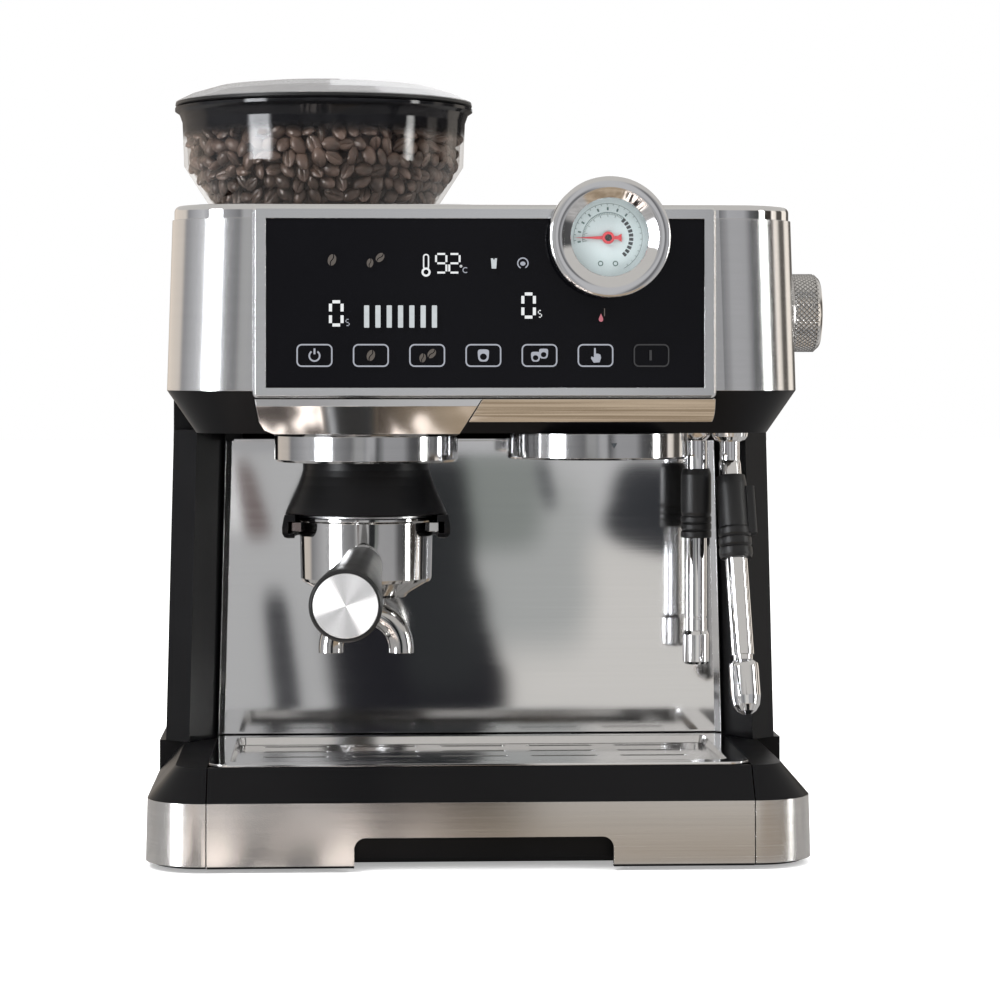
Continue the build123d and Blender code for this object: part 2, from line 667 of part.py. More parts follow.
# Steam wand
STEAM_TOP = (STEAM_X, STEAM_Y, STEAM_BEND_Z)
STEAM_RUN = [end - start for end, start in zip(STEAM_TIP, STEAM_TOP)]
STEAM_LENGTH = hypot(*STEAM_RUN)
STEAM_AXIS = Axis(STEAM_TOP, STEAM_RUN)
STEAM_PLANE = Plane(origin=STEAM_TOP, x_dir=STEAM_RUN, z_dir=(0, -STEAM_RUN[2], STEAM_RUN[1]))


def along_wand(points, mode=Mode.ADD):
    """Solid of revolution about the lower steam wand from distance, radius points."""
    with BuildSketch(STEAM_PLANE) as outline:
        with BuildLine():
            Polyline(*points, close=True)
        make_face()
    revolve(outline.sketch.faces(), axis=STEAM_AXIS, mode=mode)


GRIP_END = 48.0
NOZZLE_START = 97.0
with BuildPart() as steam_tube:
    post(STEAM_X, STEAM_Y, STEAM_BEND_Z, SKIRT_Z + 12, 5.0)
    with Locations(STEAM_TOP):
        Sphere(5.6)
    along_wand(((0, 0), (0, 5.6), (NOZZLE_START, 5.6), (NOZZLE_START, 0)))

with BuildPart() as steam_grip:
    along_wand(
        (
            (6, 5.6), (6, 7.2), (10, 7.7), (32, 7.7), (33, 8.2), (36, 8.2), (37, 7.6),
            (38, 8.3), (41, 8.3), (42, 7.7), (43, 8.4), (46, 8.4), (GRIP_END, 7.8), (GRIP_END, 5.6),
        )
    )
    tab_dir = Vector(*STEAM_RUN).normalized()
    with BuildSketch(Plane(origin=Vector(*STEAM_TOP) + tab_dir * 12, x_dir=(1, 0, 0), z_dir=tab_dir)):
        with Locations((8.6, 0)):
            RectangleRounded(5, 9, 1.5)
    extrude(amount=24)
    along_wand(((0, 0), (0, 5.6), (60, 5.6), (60, 0)), Mode.SUBTRACT)

with BuildPart() as steam_nozzle:
    end = STEAM_LENGTH
    along_wand(
        (
            (NOZZLE_START, 0), (NOZZLE_START, 4.8), (NOZZLE_START + 2.5, 4.8),
            (NOZZLE_START + 4.5, 7.2), (NOZZLE_START + 6, 7.4), (end - 9, 7.4), (end - 4.5, 6.6),
            (end - 1.5, 4.6), (end, 2.2), (end, 0),
        )
    )

with BuildPart() as steam_flange:
    turned(
        STEAM_X, STEAM_Y,
        ((5.3, SKIRT_Z), (9.4, SKIRT_Z), (9, 206.4), (7.6, 204.6), (6.2, 203.8), (5.3, 203.8)),
    )

# Hot-water wand with a ball in the skirt
with BuildPart() as water_tube:
    with Locations((WATER_X, WATER_Y, SKIRT_Z + 1)):
        Sphere(7.9)
    with BuildSketch(side(WATER_X - 9)):
        with Locations((WATER_Y, SKIRT_Z + 1)):
            Circle(1.6)
    extrude(amount=18, mode=Mode.SUBTRACT)
    post(WATER_X, WATER_Y, 115, SKIRT_Z, 5.5)
    post(WATER_X, WATER_Y, 114, 115, 5.1)
    post(WATER_X, WATER_Y, 108, 114, 5.5)

with BuildPart() as water_grip:
    turned(
        WATER_X, WATER_Y,
        (
            (5.5, 155), (7.6, 155), (7.8, 155.5), (7.8, 158), (7.2, 158.7), (7.8, 159.4),
            (7.8, 161.8), (7.2, 162.5), (7.8, 163.2), (7.8, 165.4), (7.2, 166.2), (7.7, 168),
            (7.7, 187), (6.8, 190), (5.5, 190),
        ),
    )

with BuildPart() as water_nozzle:
    turned(
        WATER_X, WATER_Y,
        (
            (3.4, 91), (5.6, 91), (6.8, 92.4), (6.8, 106), (5.8, 108), (0, 108), (0, 105), (3.4, 105),
        ),
    )

# Steam knob with its spindle, and the valve behind it
KNOB_BACK = HEAD_X + HEAD_HALF_LOW + 1.0
with BuildPart() as steam_knob:
    knob_axis = Axis((0, KNOB_Y, KNOB_Z), (1, 0, 0))
    with BuildSketch(Plane(origin=(0, KNOB_Y, KNOB_Z), x_dir=(1, 0, 0), z_dir=(0, -1, 0))):
        with BuildLine():
            Polyline(
                (144.2, 0), (144.2, 4), (KNOB_BACK, 4), (KNOB_BACK, 17.5), (KNOB_BACK + 1.2, 18.6),
                (KNOB_BACK + 1.2, KNOB_R - 0.4), (KNOB_BACK + 1.6, KNOB_R), (KNOB_END - 3, KNOB_R),
                (KNOB_END, KNOB_R - 2.6), (KNOB_END, KNOB_R - 4), (KNOB_END - 0.5, KNOB_R - 4.6),
                (KNOB_END - 0.5, 0), close=True,
            )
        make_face()
    revolve(axis=knob_axis)

with BuildPart() as steam_valve:
    block(118, 144, KNOB_Y - 13, KNOB_Y + 13, KNOB_Z - 13, KNOB_Z + 13)
    with BuildSketch(side(144)):
        with Locations((KNOB_Y, KNOB_Z)):
            Circle(9)
    extrude(amount=HEAD_X + HEAD_HALF_HIGH - SHEET - 0.4 - 144)
    with BuildSketch(side(143.5)):
        with Locations((KNOB_Y, KNOB_Z)):
            Circle(4.06)
    extrude(amount=20, mode=Mode.SUBTRACT)

# Pressure gauge
DIAL_R = 18.7
PLATE_R = 19.6


def about_gauge(points, mode=Mode.ADD):
    """Solid of revolution about the gauge axis from forward distance, radius points."""
    with BuildSketch(Plane(origin=(GAUGE_X, 0, GAUGE_Z), x_dir=(0, -1, 0), z_dir=(1, 0, 0))) as outline:
        with BuildLine():
            Polyline(*points, close=True)
        make_face()
    revolve(outline.sketch.faces(), axis=Axis((GAUGE_X, 0, GAUGE_Z), (0, -1, 0)), mode=mode)


with BuildPart() as gauge_case:
    about_gauge(((100, 0), (100, 24.6), (102, 26.6), (147, 26.6), (147, 20), (144, 20), (144, 0)))
    about_gauge(((140, 0), (140, 1.06), (145, 1.06), (145, 0)), Mode.SUBTRACT)

with BuildPart() as gauge_bezel:
    about_gauge(
        (
            (145.2, 26.6), (145.2, 28.6), (145.6, GAUGE_R), (159.2, GAUGE_R), (159.9, 28.5),
            (160, 27.8), (160, 23.2), (159.6, 22.4), (153.4, 19.2), (152.8, DIAL_R),
            (151.2, DIAL_R), (151.2, 20.6), (147, 20.6), (147, 26.6),
        )
    )

with BuildPart() as gauge_dial:
    about_gauge(((144, 1.2), (144, PLATE_R), (145, PLATE_R), (145, 1.2)))

with BuildPart() as gauge_needle:
    about_gauge(((141, 0), (141, 1), (145.6, 1), (145.6, 3), (147, 3), (147.4, 2.4), (147.4, 0)))
    with BuildSketch(facing(-145.9)):
        with BuildLine():
            Polyline(
                (GAUGE_X - 16.5, GAUGE_Z), (GAUGE_X, GAUGE_Z + 1.0), (GAUGE_X + 4.5, GAUGE_Z + 0.8),
                (GAUGE_X + 6.5, GAUGE_Z + 2.0), (GAUGE_X + 6.5, GAUGE_Z - 2.0),
                (GAUGE_X + 4.5, GAUGE_Z - 0.8), (GAUGE_X, GAUGE_Z - 1.0), close=True,
            )
        make_face()
    extrude(amount=0.6)

with BuildPart() as gauge_lens:
    about_gauge(((149.6, 0), (149.6, 20.6), (151.2, 20.6), (151.2, DIAL_R - 0.1), (151.8, 14), (152.1, 0)))

# Bean hopper, beans and lid
RIM_R = 78.5
with BuildPart() as hopper_bowl:
    turned(
        HOPPER_X, HOPPER_Y,
        (
            (NECK_R, 288), (NECK_R, 322.6), (58.4, 323.4), (62.8, 330), (73.7, 347), (74.6, 370),
            (76.2, 374.5), (RIM_R, 376), (RIM_R, 377.6), (75.4, 377.6), (74.0, 376), (72.6, 370),
            (71.6, 347.8), (61.0, 331.2), (57.2, 325.4), (31.4, 324.4), (31.4, 288),
        ),
    )

BEAN_R = 4.4
BEAN_ROWS = (
    (335.0, 58.0, 18), (346.5, 65.4, 20), (357.5, 67.2, 20),
    (361.5, 50.0, 14), (362.8, 33.0, 9), (363.8, 16.0, 5),
)
with BuildPart() as bean_fill:
    turned(
        HOPPER_X, HOPPER_Y,
        (
            (0, 306), (31, 306), (31, 325), (54.4, 327.5), (67.4, 348.8), (68.4, 359),
            (62, 361), (40, 362.5), (0, 364),
        ),
    )
    with BuildPart(mode=Mode.PRIVATE) as beans:
        for bean_z, bean_ring, bean_count in BEAN_ROWS:
            with Locations((HOPPER_X, HOPPER_Y, bean_z)):
                with PolarLocations(bean_ring, bean_count):
                    Sphere(BEAN_R)
    add(beans.part)

# Lid of the hopper, on a silicone seal that locates it in the rim
SEAL_TOP = 380.4
SEAL_R = 73.0
with BuildPart() as lid_seal:
    turned(
        HOPPER_X, HOPPER_Y,
        (
            (SEAL_R - 1.1, 373.6), (SEAL_R, 373.6), (SEAL_R, 378), (77.2, 378), (78.3, 379),
            (78.1, SEAL_TOP), (SEAL_R - 1.1, SEAL_TOP),
        ),
    )

with BuildPart() as hopper_lid:
    turned(
        HOPPER_X, HOPPER_Y,
        (
            (0, 388.6), (40, 388.2), (56, 386.4), (67.4, 382.6), (70.4, SEAL_TOP), (77.8, SEAL_TOP),
            (78.0, SEAL_TOP + 0.5), (70.4, 384.6), (57, 388.6), (40, 390.5), (0, 391),
        ),
    )
    with BuildSketch(level(388.8)):
        with Locations((HOPPER_X, HOPPER_Y)):
            SlotOverall(44, 16)
    extrude(amount=6, taper=-8, mode=Mode.SUBTRACT)
    block(HOPPER_X - 14, HOPPER_X + 14, HOPPER_Y - 1.6, HOPPER_Y + 1.6, 388.4, 391)

# Conical burrs
BURR_TEETH = 12
with BuildPart() as outer_burr:
    turned(
        HOPPER_X, HOPPER_Y, ((23.6, 282), (31.4, 282), (31.4, 300), (27, 301.5), (20, 301.5))
    )
    for tooth in range(BURR_TEETH):
        with BuildSketch(Plane(origin=(HOPPER_X, HOPPER_Y, 281), z_dir=(0, 0, 1))):
            with Locations(Rotation(0, 0, tooth * 360 / BURR_TEETH)):
                with Locations((23.5, 0)):
                    Rectangle(3.6, 1.6)
        extrude(amount=22, mode=Mode.SUBTRACT)

with BuildPart() as inner_burr:
    turned(
        HOPPER_X, HOPPER_Y,
        (
            (0, 255), (5, 255), (5, 274), (25, 274), (25, 276.5), (22.4, 280), (13, 299), (6, 304),
            (0, 304),
        ),
    )
    for tooth in range(BURR_TEETH):
        with BuildSketch(Plane(origin=(HOPPER_X, HOPPER_Y, 284), z_dir=(0, 0, 1))):
            with Locations(Rotation(0, 0, tooth * 360 / BURR_TEETH)):
                with Locations((20.5, 0)):
                    Rectangle(6, 1.8)
        extrude(amount=22, mode=Mode.SUBTRACT)

with BuildPart() as burr_chamber:
    turned(
        HOPPER_X, HOPPER_Y,
        (
            (5.06, 262), (40, 262), (40, 314), (NECK_R + 0.4, 314), (NECK_R + 0.4, 268), (5.06, 268),
        ),
    )
    block(HOPPER_X - 6, HOPPER_X + 14, HOPPER_Y - 45, HOPPER_Y - 20, 268, 280, Mode.SUBTRACT)

with BuildPart() as grinder_motor:
    turned(
        HOPPER_X, HOPPER_Y,
        (
            (0, 150), (8, 150), (8, 156), (22, 156), (22, 240), (23, 240), (23, 250), (30, 250),
            (30, 262), (5.06, 262), (5.06, 254), (0, 254),
        ),
    )

with BuildPart() as grinder_chute:
    chute_from = Vector(HOPPER_X + 4, HOPPER_Y - 48.2, 274)
    chute_to = Vector(GRIND_X, DOCK_Y + 8, SKIRT_Z + 7)
    chute_plane = Plane(origin=chute_from, z_dir=chute_to - chute_from)
    with BuildSketch(chute_plane):
        Circle(9)
        Circle(7.4, mode=Mode.SUBTRACT)
    extrude(amount=(chute_to - chute_from).length)

# Boiler, pump, board and hoses
with BuildPart() as boiler:
    block(25, 97, -98, -48, 232, 288)
    for rib in range(4):
        rib_z = 240 + rib * 13
        block(23, 99, -96, -50, rib_z, rib_z + 4)
    post(40, -58, 288, 300, 4)

with BuildPart() as water_pump:
    post(70, 35, 66, 172, 23)
    post(70, 35, 60, 66, 14)
    post(70, 35, 172, 180, 10)
    block(44, 96, 12, 58, 84, 132)

with BuildPart() as control_board:
    block(-66, 20, 80, 81.6, 92, 196)
    for bx in (-60, 14):
        for bz in (98, 190):
            barrel(bx, bz, TOWER_BACK - WALL, 81.6, 3)
    block(-56, -26, 62, 80, 104, 140)
    block(-10, 12, 68, 80, 104, 180)

with BuildPart() as water_hoses:
    for route, start_dir in (
        (((70, 35, 180), (70, 35, 262), (70, -48, 262)), (0, 0, 1)),
        (((40, 87, 58), (40, 35, 58), (56, 35, 58)), (0, -1, 0)),
    ):
        with BuildLine() as hose_path:
            FilletPolyline(*route, radius=10)
        with BuildSketch(Plane(origin=route[0], z_dir=start_dir)):
            Circle(3)
        sweep(path=hose_path.line)

# Screws: rear wall and bottom cover
with BuildPart() as case_screws:
    for sx in (-1, 1):
        for screw_z in (70, 190):
            barrel(sx * 144, screw_z, TOWER_BACK + 1.8, TOWER_BACK, 3.6)
        for screw_y in (SERVICE_Y0 + 3, SERVICE_Y1 - 3):
            post(sx * (SERVICE_X - 3), screw_y, COVER_Z0 - 0.9, COVER_Z0, 2.4)

# Drip tray with its front, the front band and the slotted grid
FACE_LOW = -HALF_D
FACE_HIGH = -SHOULDER_FRONT
with BuildPart() as drip_tray:
    with BuildSketch(side(-TRAY_HALF)):
        with BuildLine():
            Polyline(
                (FACE_LOW + SHEET, 1.8), (FACE_LOW + SHEET, BAND_Z), (FACE_HIGH + SHEET, SHOULDER_Z),
                (FACE_HIGH, SHOULDER_Z), (FACE_HIGH + SHOULDER_INSET, DECK_Z), (-138.2, DECK_Z),
                (-138.2, 44), (-149.6, 32), (-150, 1.8), close=True,
            )
        make_face()
    extrude(amount=2 * TRAY_HALF)
    block(-128, 128, -141, TRAY_BACK, BAY_FLOOR + 0.4, 44)
    block(-128 + TRAY_WALL, 128 - TRAY_WALL, -141 + TRAY_WALL, TRAY_BACK - TRAY_WALL, 7, 45, Mode.SUBTRACT)
    with BuildSketch(facing(-149)):
        with Locations((NOTCH_X, NOTCH_TOP / 2)):
            RectangleRounded(NOTCH_W, NOTCH_TOP, 5.5)
        with Locations((NOTCH_X, NOTCH_TOP / 4)):
            Rectangle(NOTCH_W, NOTCH_TOP / 2)
    extrude(amount=10, mode=Mode.SUBTRACT)

with BuildPart() as tray_band:
    with BuildSketch(side(-TRAY_HALF)):
        with BuildLine():
            Polyline(
                (FACE_LOW, BAND_Z), (FACE_HIGH, SHOULDER_Z), (FACE_HIGH + SHEET, SHOULDER_Z),
                (FACE_LOW + SHEET, BAND_Z), close=True,
            )
        make_face()
    extrude(amount=2 * TRAY_HALF)
    with BuildSketch(facing(-149)):
        with Locations((NOTCH_X, NOTCH_TOP / 2)):
            RectangleRounded(NOTCH_W, NOTCH_TOP, 5.5)
        with Locations((NOTCH_X, NOTCH_TOP / 4)):
            Rectangle(NOTCH_W, NOTCH_TOP / 2)
    extrude(amount=10, mode=Mode.SUBTRACT)

GRID_Z = DECK_Z + 0.3
GRID_FRONT = -140.6
GRID_BACK = -18.0
DISH = 4.0
RIM = 9.0
with BuildPart() as drip_grid:
    extrude(rounded(GRID_Z, TRAY_HALF - 0.2, GRID_FRONT, GRID_BACK, 10), amount=1.2)
    extrude(
        rounded(GRID_Z + 1.2, TRAY_HALF - 0.2 - RIM, GRID_FRONT + RIM, GRID_BACK - RIM, 6),
        amount=-DISH - 1.2, taper=20,
    )
    extrude(
        rounded(GRID_Z + 1.2, TRAY_HALF - 1.4 - RIM, GRID_FRONT + RIM + 1.2, GRID_BACK - RIM - 1.2, 5),
        amount=-DISH, taper=20, mode=Mode.SUBTRACT,
    )
    with BuildSketch(level(GRID_Z - DISH - 1)):
        with Locations((0, (GRID_FRONT + GRID_BACK) / 2)):
            with GridLocations(45, 21, 5, 5):
                SlotOverall(34, 4.4)
    extrude(amount=4, mode=Mode.SUBTRACT)

# Water tank and its flap
TANK_Z0 = 50.0
TANK_TOP = 306.0
HINGE_Y = 146.4
HINGE_Z = 308.6
with BuildPart() as water_tank:
    extrude(rounded(TANK_Z0, TANK_HALF, TANK_FRONT, TANK_BACK, 14), amount=TANK_TOP - TANK_Z0)
    extrude(
        rounded(TANK_Z0 + 3, TANK_HALF - 2.5, TANK_FRONT + 2.5, TANK_BACK - 2.5, 11.5),
        amount=TANK_TOP, mode=Mode.SUBTRACT,
    )
    for sx in (-1, 1):
        block(
            min(sx * 66, sx * 72), max(sx * 66, sx * 72), HINGE_Y - 2.2, TANK_BACK, TANK_TOP - 12,
            HINGE_Z + 2.2,
        )
        with BuildSketch(side(sx * 66)):
            with Locations((HINGE_Y, HINGE_Z)):
                Circle(1.5)
        extrude(amount=-sx * 6)

with BuildPart() as tank_lid:
    extrude(rounded(TANK_TOP + 0.6, TANK_HALF, TANK_FRONT, HINGE_Y - 3.6, 12), amount=3.2)
    block(-60, 60, HINGE_Y - 8, HINGE_Y, TANK_TOP + 0.6, TANK_TOP + 3.8)
    with BuildSketch(side(-65)):
        with Locations((HINGE_Y, HINGE_Z)):
            Circle(2.6)
    extrude(amount=130)
    with BuildSketch(side(-66)):
        with Locations((HINGE_Y, HINGE_Z)):
            Circle(1.56)
    extrude(amount=132, mode=Mode.SUBTRACT)
    with BuildSketch(level(TANK_TOP + 2.8)):
        with Locations((0, TANK_FRONT + 12)):
            SlotOverall(46, 12)
    extrude(amount=3, mode=Mode.SUBTRACT)

PIECES = {
    "base_shell": base_shell,
    "base_band": base_band,
    "rubber_feet": rubber_feet,
    "bottom_cover": bottom_cover,
    "cord_gland": cord_gland,
    "tower_shell": tower_shell,
    "splash_panel": splash_panel,
    "rear_wall": rear_wall,
    "head_wrap": head_wrap,
    "head_skirt": head_skirt,
    "top_cover": top_cover,
    "fascia_frame": fascia_frame,
    "touch_glass": touch_glass,
    "display_board": display_board,
    "grinder_apron": grinder_apron,
    "brew_apron": brew_apron,
    "grinder_collar": grinder_collar,
    "group_collar": group_collar,
    "dosing_cradle": dosing_cradle,
    "group_head": group_head,
    "group_gasket": group_gasket,
    "shower_screen": shower_screen,
    "portafilter_body": portafilter_body,
    "filter_basket": filter_basket,
    "portafilter_handle": portafilter_handle,
    "handle_cap": handle_cap,
    "portafilter_spout": portafilter_spout,
    "steam_tube": steam_tube,
    "steam_grip": steam_grip,
    "steam_nozzle": steam_nozzle,
    "steam_flange": steam_flange,
    "water_tube": water_tube,
    "water_grip": water_grip,
    "water_nozzle": water_nozzle,
    "steam_knob": steam_knob,
    "steam_valve": steam_valve,
    "gauge_case": gauge_case,
    "gauge_bezel": gauge_bezel,
    "gauge_dial": gauge_dial,
    "gauge_needle": gauge_needle,
    "gauge_lens": gauge_lens,
    "hopper_bowl": hopper_bowl,
    "bean_fill": bean_fill,
    "lid_seal": lid_seal,
    "hopper_lid": hopper_lid,
    "outer_burr": outer_burr,
    "inner_burr": inner_burr,
    "burr_chamber": burr_chamber,
    "grinder_motor": grinder_motor,
    "grinder_chute": grinder_chute,
    "boiler": boiler,
    "water_pump": water_pump,
    "control_board": control_board,
    "water_hoses": water_hoses,
    "case_screws": case_screws,
    "drip_tray": drip_tray,
    "tray_band": tray_band,
    "drip_grid": drip_grid,
    "water_tank": water_tank,
    "tank_lid": tank_lid,
}

os.makedirs("parts", exist_ok=True)
for name, piece in PIECES.items():
    piece.part.label = name
    export_step(piece.part, f"parts/{name}.step")
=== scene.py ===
"""Looks of a bean-to-cup espresso machine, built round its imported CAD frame.

Each sub-assembly is a class that dresses its CAD nodes with a finish and adds
the fine pieces that the solids leave out: the lit panel, the dial print, the
knurl, the coffee beans. Metres, in the frame of the CAD model.
"""

import logging
import math
from dataclasses import dataclass
from enum import Enum
from typing import Iterable, Sequence

import bpy
import numpy as np
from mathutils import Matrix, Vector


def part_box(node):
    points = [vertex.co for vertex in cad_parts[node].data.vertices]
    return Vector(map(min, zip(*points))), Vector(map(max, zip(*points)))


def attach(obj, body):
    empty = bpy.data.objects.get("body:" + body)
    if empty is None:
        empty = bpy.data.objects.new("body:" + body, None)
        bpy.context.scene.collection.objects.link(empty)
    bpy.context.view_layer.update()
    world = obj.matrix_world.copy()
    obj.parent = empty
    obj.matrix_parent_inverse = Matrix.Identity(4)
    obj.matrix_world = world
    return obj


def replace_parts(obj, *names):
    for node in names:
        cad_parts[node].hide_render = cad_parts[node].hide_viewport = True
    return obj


LOG = logging.getLogger("espresso_scene")
MM = 0.001
# Where the camera stands, in metres, and the point of its picture that lies along y from it, in pixels
EYE = (-0.065, -1.68, 0.245)
AXIS_PX = (346.0, 360.0)

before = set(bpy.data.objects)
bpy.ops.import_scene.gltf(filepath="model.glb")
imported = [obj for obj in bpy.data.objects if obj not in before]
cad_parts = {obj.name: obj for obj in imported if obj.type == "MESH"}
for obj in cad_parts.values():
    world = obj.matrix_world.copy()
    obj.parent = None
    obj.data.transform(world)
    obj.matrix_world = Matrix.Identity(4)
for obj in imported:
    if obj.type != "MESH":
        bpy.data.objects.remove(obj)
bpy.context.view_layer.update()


class Axis(Enum):
    """Direction in which the tool marks of a metal surface run, as marks per metre."""

    LEVEL = (9.0, 9.0, 1900.0)
    NONE = (240.0, 240.0, 240.0)


class Sock:
    """An output socket that takes part in arithmetic."""

    def __init__(self, graph: "Graph", socket: bpy.types.NodeSocket) -> None:
        """Wraps a socket of a graph."""
        self.graph = graph
        self.socket = socket

    def call(self, operation: str, *others: "Sock | float") -> "Sock":
        """Result of a Math operation, such as SINE or ARCTAN2.

        Args:
            operation: name of the Math operation.
            others: further operands.

        Returns:
            The result socket.
        """
        return self.graph.node("ShaderNodeMath", (self, *others), operation=operation)

    def __add__(self, other: "Sock | float") -> "Sock":
        """Sum."""
        return self.call("ADD", other)

    def __sub__(self, other: "Sock | float") -> "Sock":
        """Difference."""
        return self.call("SUBTRACT", other)

    def __mul__(self, other: "Sock | float") -> "Sock":
        """Product."""
        return self.call("MULTIPLY", other)

    def __truediv__(self, other: "Sock | float") -> "Sock":
        """Quotient."""
        return self.call("DIVIDE", other)

    def __pow__(self, other: "Sock | float") -> "Sock":
        """Power."""
        return self.call("POWER", other)

    def __rsub__(self, other: float) -> "Sock":
        """A number less the socket."""
        return self * -1.0 + other

    def smooth(self, low: float, high: float) -> "Sock":
        """Smooth step from 0 at low to 1 at high."""
        return self.graph.node(
            "ShaderNodeMapRange",
            {"Value": self, "From Min": low, "From Max": high},
            interpolation_type="SMOOTHSTEP",
        )


class Graph:
    """The node tree of one material or world, with one method for every node."""

    def __init__(self, name: str, world: bool = False) -> None:
        """Starts an empty tree in a new material, or in a new world."""
        self.owner = (bpy.data.worlds if world else bpy.data.materials).new(name)
        self.output = "ShaderNodeOutputWorld" if world else "ShaderNodeOutputMaterial"
        self.owner.use_nodes = True
        self.tree = self.owner.node_tree
        self.tree.nodes.clear()

    def node(
        self,
        kind: str,
        inputs: "Sequence | dict" = (),
        out: "int | str" = 0,
        **settings: object,
    ) -> Sock:
        """Adds a node and wires it.

        Args:
            kind: node type name.
            inputs: values or sockets, by place or by input name.
            out: output to hand back.
            settings: node properties.

        Returns:
            The chosen output.
        """
        made = self.tree.nodes.new(kind)
        for key, value in settings.items():
            setattr(made, key, value)
        pairs = inputs.items() if isinstance(inputs, dict) else enumerate(inputs)
        for key, value in pairs:
            if isinstance(value, Sock):
                self.tree.links.new(value.socket, made.inputs[key])
            else:
                made.inputs[key].default_value = value
        return Sock(self, made.outputs[out] if made.outputs else None)

    def place(self, scale: Sequence[float] = (1, 1, 1), shift: Sequence[float] = (0, 0, 0)) -> Sock:
        """Object coordinates, scaled and shifted."""
        spot = self.node("ShaderNodeTexCoord", out="Object")
        return self.node(
            "ShaderNodeMapping", {"Vector": spot, "Scale": scale, "Location": shift}
        )

    def xyz(self, shift: Sequence[float] = (0, 0, 0)) -> tuple[Sock, Sock, Sock]:
        """The three object coordinates as sockets."""
        parts = self.node("ShaderNodeSeparateXYZ", (self.place(shift=shift),)).socket.node
        return tuple(Sock(self, parts.outputs[i]) for i in range(3))

    def noise(self, spot: Sock, scale: float, detail: float = 3.0, rough: float = 0.55) -> Sock:
        """Fractal noise between 0 and 1."""
        return self.node(
            "ShaderNodeTexNoise",
            {"Vector": spot, "Scale": scale, "Detail": detail, "Roughness": rough},
        )

    def blend(self, low: "Sock | tuple", high: "Sock | tuple", factor: Sock) -> Sock:
        """Colour from low to high by factor."""
        return self.node(
            "ShaderNodeMix", {0: factor, 6: low, 7: high}, out=2, data_type="RGBA"
        )

    def spread(self, colour: Sequence[float], low: float, high: float, factor: Sock) -> Sock:
        """Colour from its low gain to its high gain by factor."""
        return self.blend(tint(colour, low), tint(colour, high), factor)

    def relief(self, height: Sock, strength: float, depth: float, edge: float = 0.0) -> Sock:
        """Normal of a height pattern, with worn edges where an edge radius is given."""
        inputs = {"Height": height, "Strength": strength, "Distance": depth}
        if edge > 0:
            inputs["Normal"] = self.node("ShaderNodeBevel", {"Radius": edge}, samples=4)
        return self.node("ShaderNodeBump", inputs)

    def skin(self, inputs: dict) -> Sock:
        """Principled shader."""
        return self.node("ShaderNodeBsdfPrincipled", inputs)

    def glow(self, colour: Sock) -> Sock:
        """Emission of a colour at full strength."""
        return self.node("ShaderNodeEmission", {"Color": colour, "Strength": 1.0})

    def mix(self, factor: Sock, low: Sock, high: Sock) -> Sock:
        """Shader from low to high by factor."""
        return self.node("ShaderNodeMixShader", (factor, low, high))

    def close(self, shader: Sock) -> "bpy.types.Material | bpy.types.World":
        """Wires a shader to the output and hands the material or world back."""
        self.node(self.output, {"Surface": shader})
        return self.owner


def rgba(colour: Sequence[float]) -> tuple[float, float, float, float]:
    """Colour with full alpha."""
    return (colour[0], colour[1], colour[2], 1.0)


def tint(colour: Sequence[float], gain: float) -> tuple[float, float, float, float]:
    """Colour made lighter or darker."""
    return rgba([min(1.0, c * gain) for c in colour])


@dataclass(frozen=True)
class Finish:
    """A moulded finish with a fine grain.

    Attributes:
        name: name of the material.
        colour: base colour, linear.
        roughness: mean roughness.
        grain: size of the grain per metre.
        relief: depth of the grain, in metres.
        edge: radius of the worn edges, in metres.
        specular: strength of the reflection.
    """

    name: str
    colour: tuple[float, float, float]
    roughness: float = 0.4
    grain: float = 2200.0
    relief: float = 0.00002
    edge: float = 0.0004
    specular: float = 0.5

    def make(self) -> bpy.types.Material:
        """Builds the material."""
        g = Graph(self.name)
        cloud = g.noise(g.place(), 34.0, 4.0)
        fine = g.noise(g.place(), self.grain, 2.0)
        shader = g.skin(
            {
                "Base Color": g.spread(self.colour, 0.86, 1.14, cloud),
                "Roughness": (cloud - 0.5) * 0.16 + (fine - 0.5) * 0.1 + self.roughness,
                "Specular IOR Level": self.specular,
                "Normal": g.relief(fine, 0.35, self.relief, self.edge),
            }
        )
        return g.close(shader)


@dataclass(frozen=True)
class Metal(Finish):
    """A metal with tool marks along one direction.

    Attributes:
        marks: run of the marks.
        streak: share by which the marks change colour and roughness.
        anisotropy: stretch of the reflections across the marks.
        wave: height of slow waves in thin sheet, in metres.
    """

    marks: Axis = Axis.NONE
    streak: float = 0.12
    anisotropy: float = 0.0
    wave: float = 0.0

    def make(self) -> bpy.types.Material:
        """Builds the material."""
        g = Graph(self.name)
        fine = g.noise(g.place(self.marks.value), 1.0, 3.0, 0.62)
        broad = g.noise(g.place(tuple(s * 0.16 for s in self.marks.value)), 1.0, 2.0)
        cloud = g.noise(g.place(), 16.0, 3.0)
        line = fine * 0.65 + broad * 0.35
        sheen = (line - 0.5) * self.streak + (cloud - 0.5) * 0.5 * self.streak
        normal = g.relief(line, 0.5, self.relief, self.edge)
        if self.wave > 0:
            swell = g.noise(g.place((5.0, 5.0, 7.0)), 1.0, 1.0)
            normal = g.node(
                "ShaderNodeBump",
                {"Height": swell, "Strength": 1.0, "Distance": self.wave, "Normal": normal},
            )
        shader = g.skin(
            {
                "Base Color": g.spread(self.colour, 1 - self.streak, 1 + self.streak, line),
                "Metallic": 1.0,
                "Roughness": sheen + self.roughness,
                "Anisotropic": self.anisotropy,
                "Anisotropic Rotation": 0.25,
                "Normal": normal,
            }
        )
        return g.close(shader)


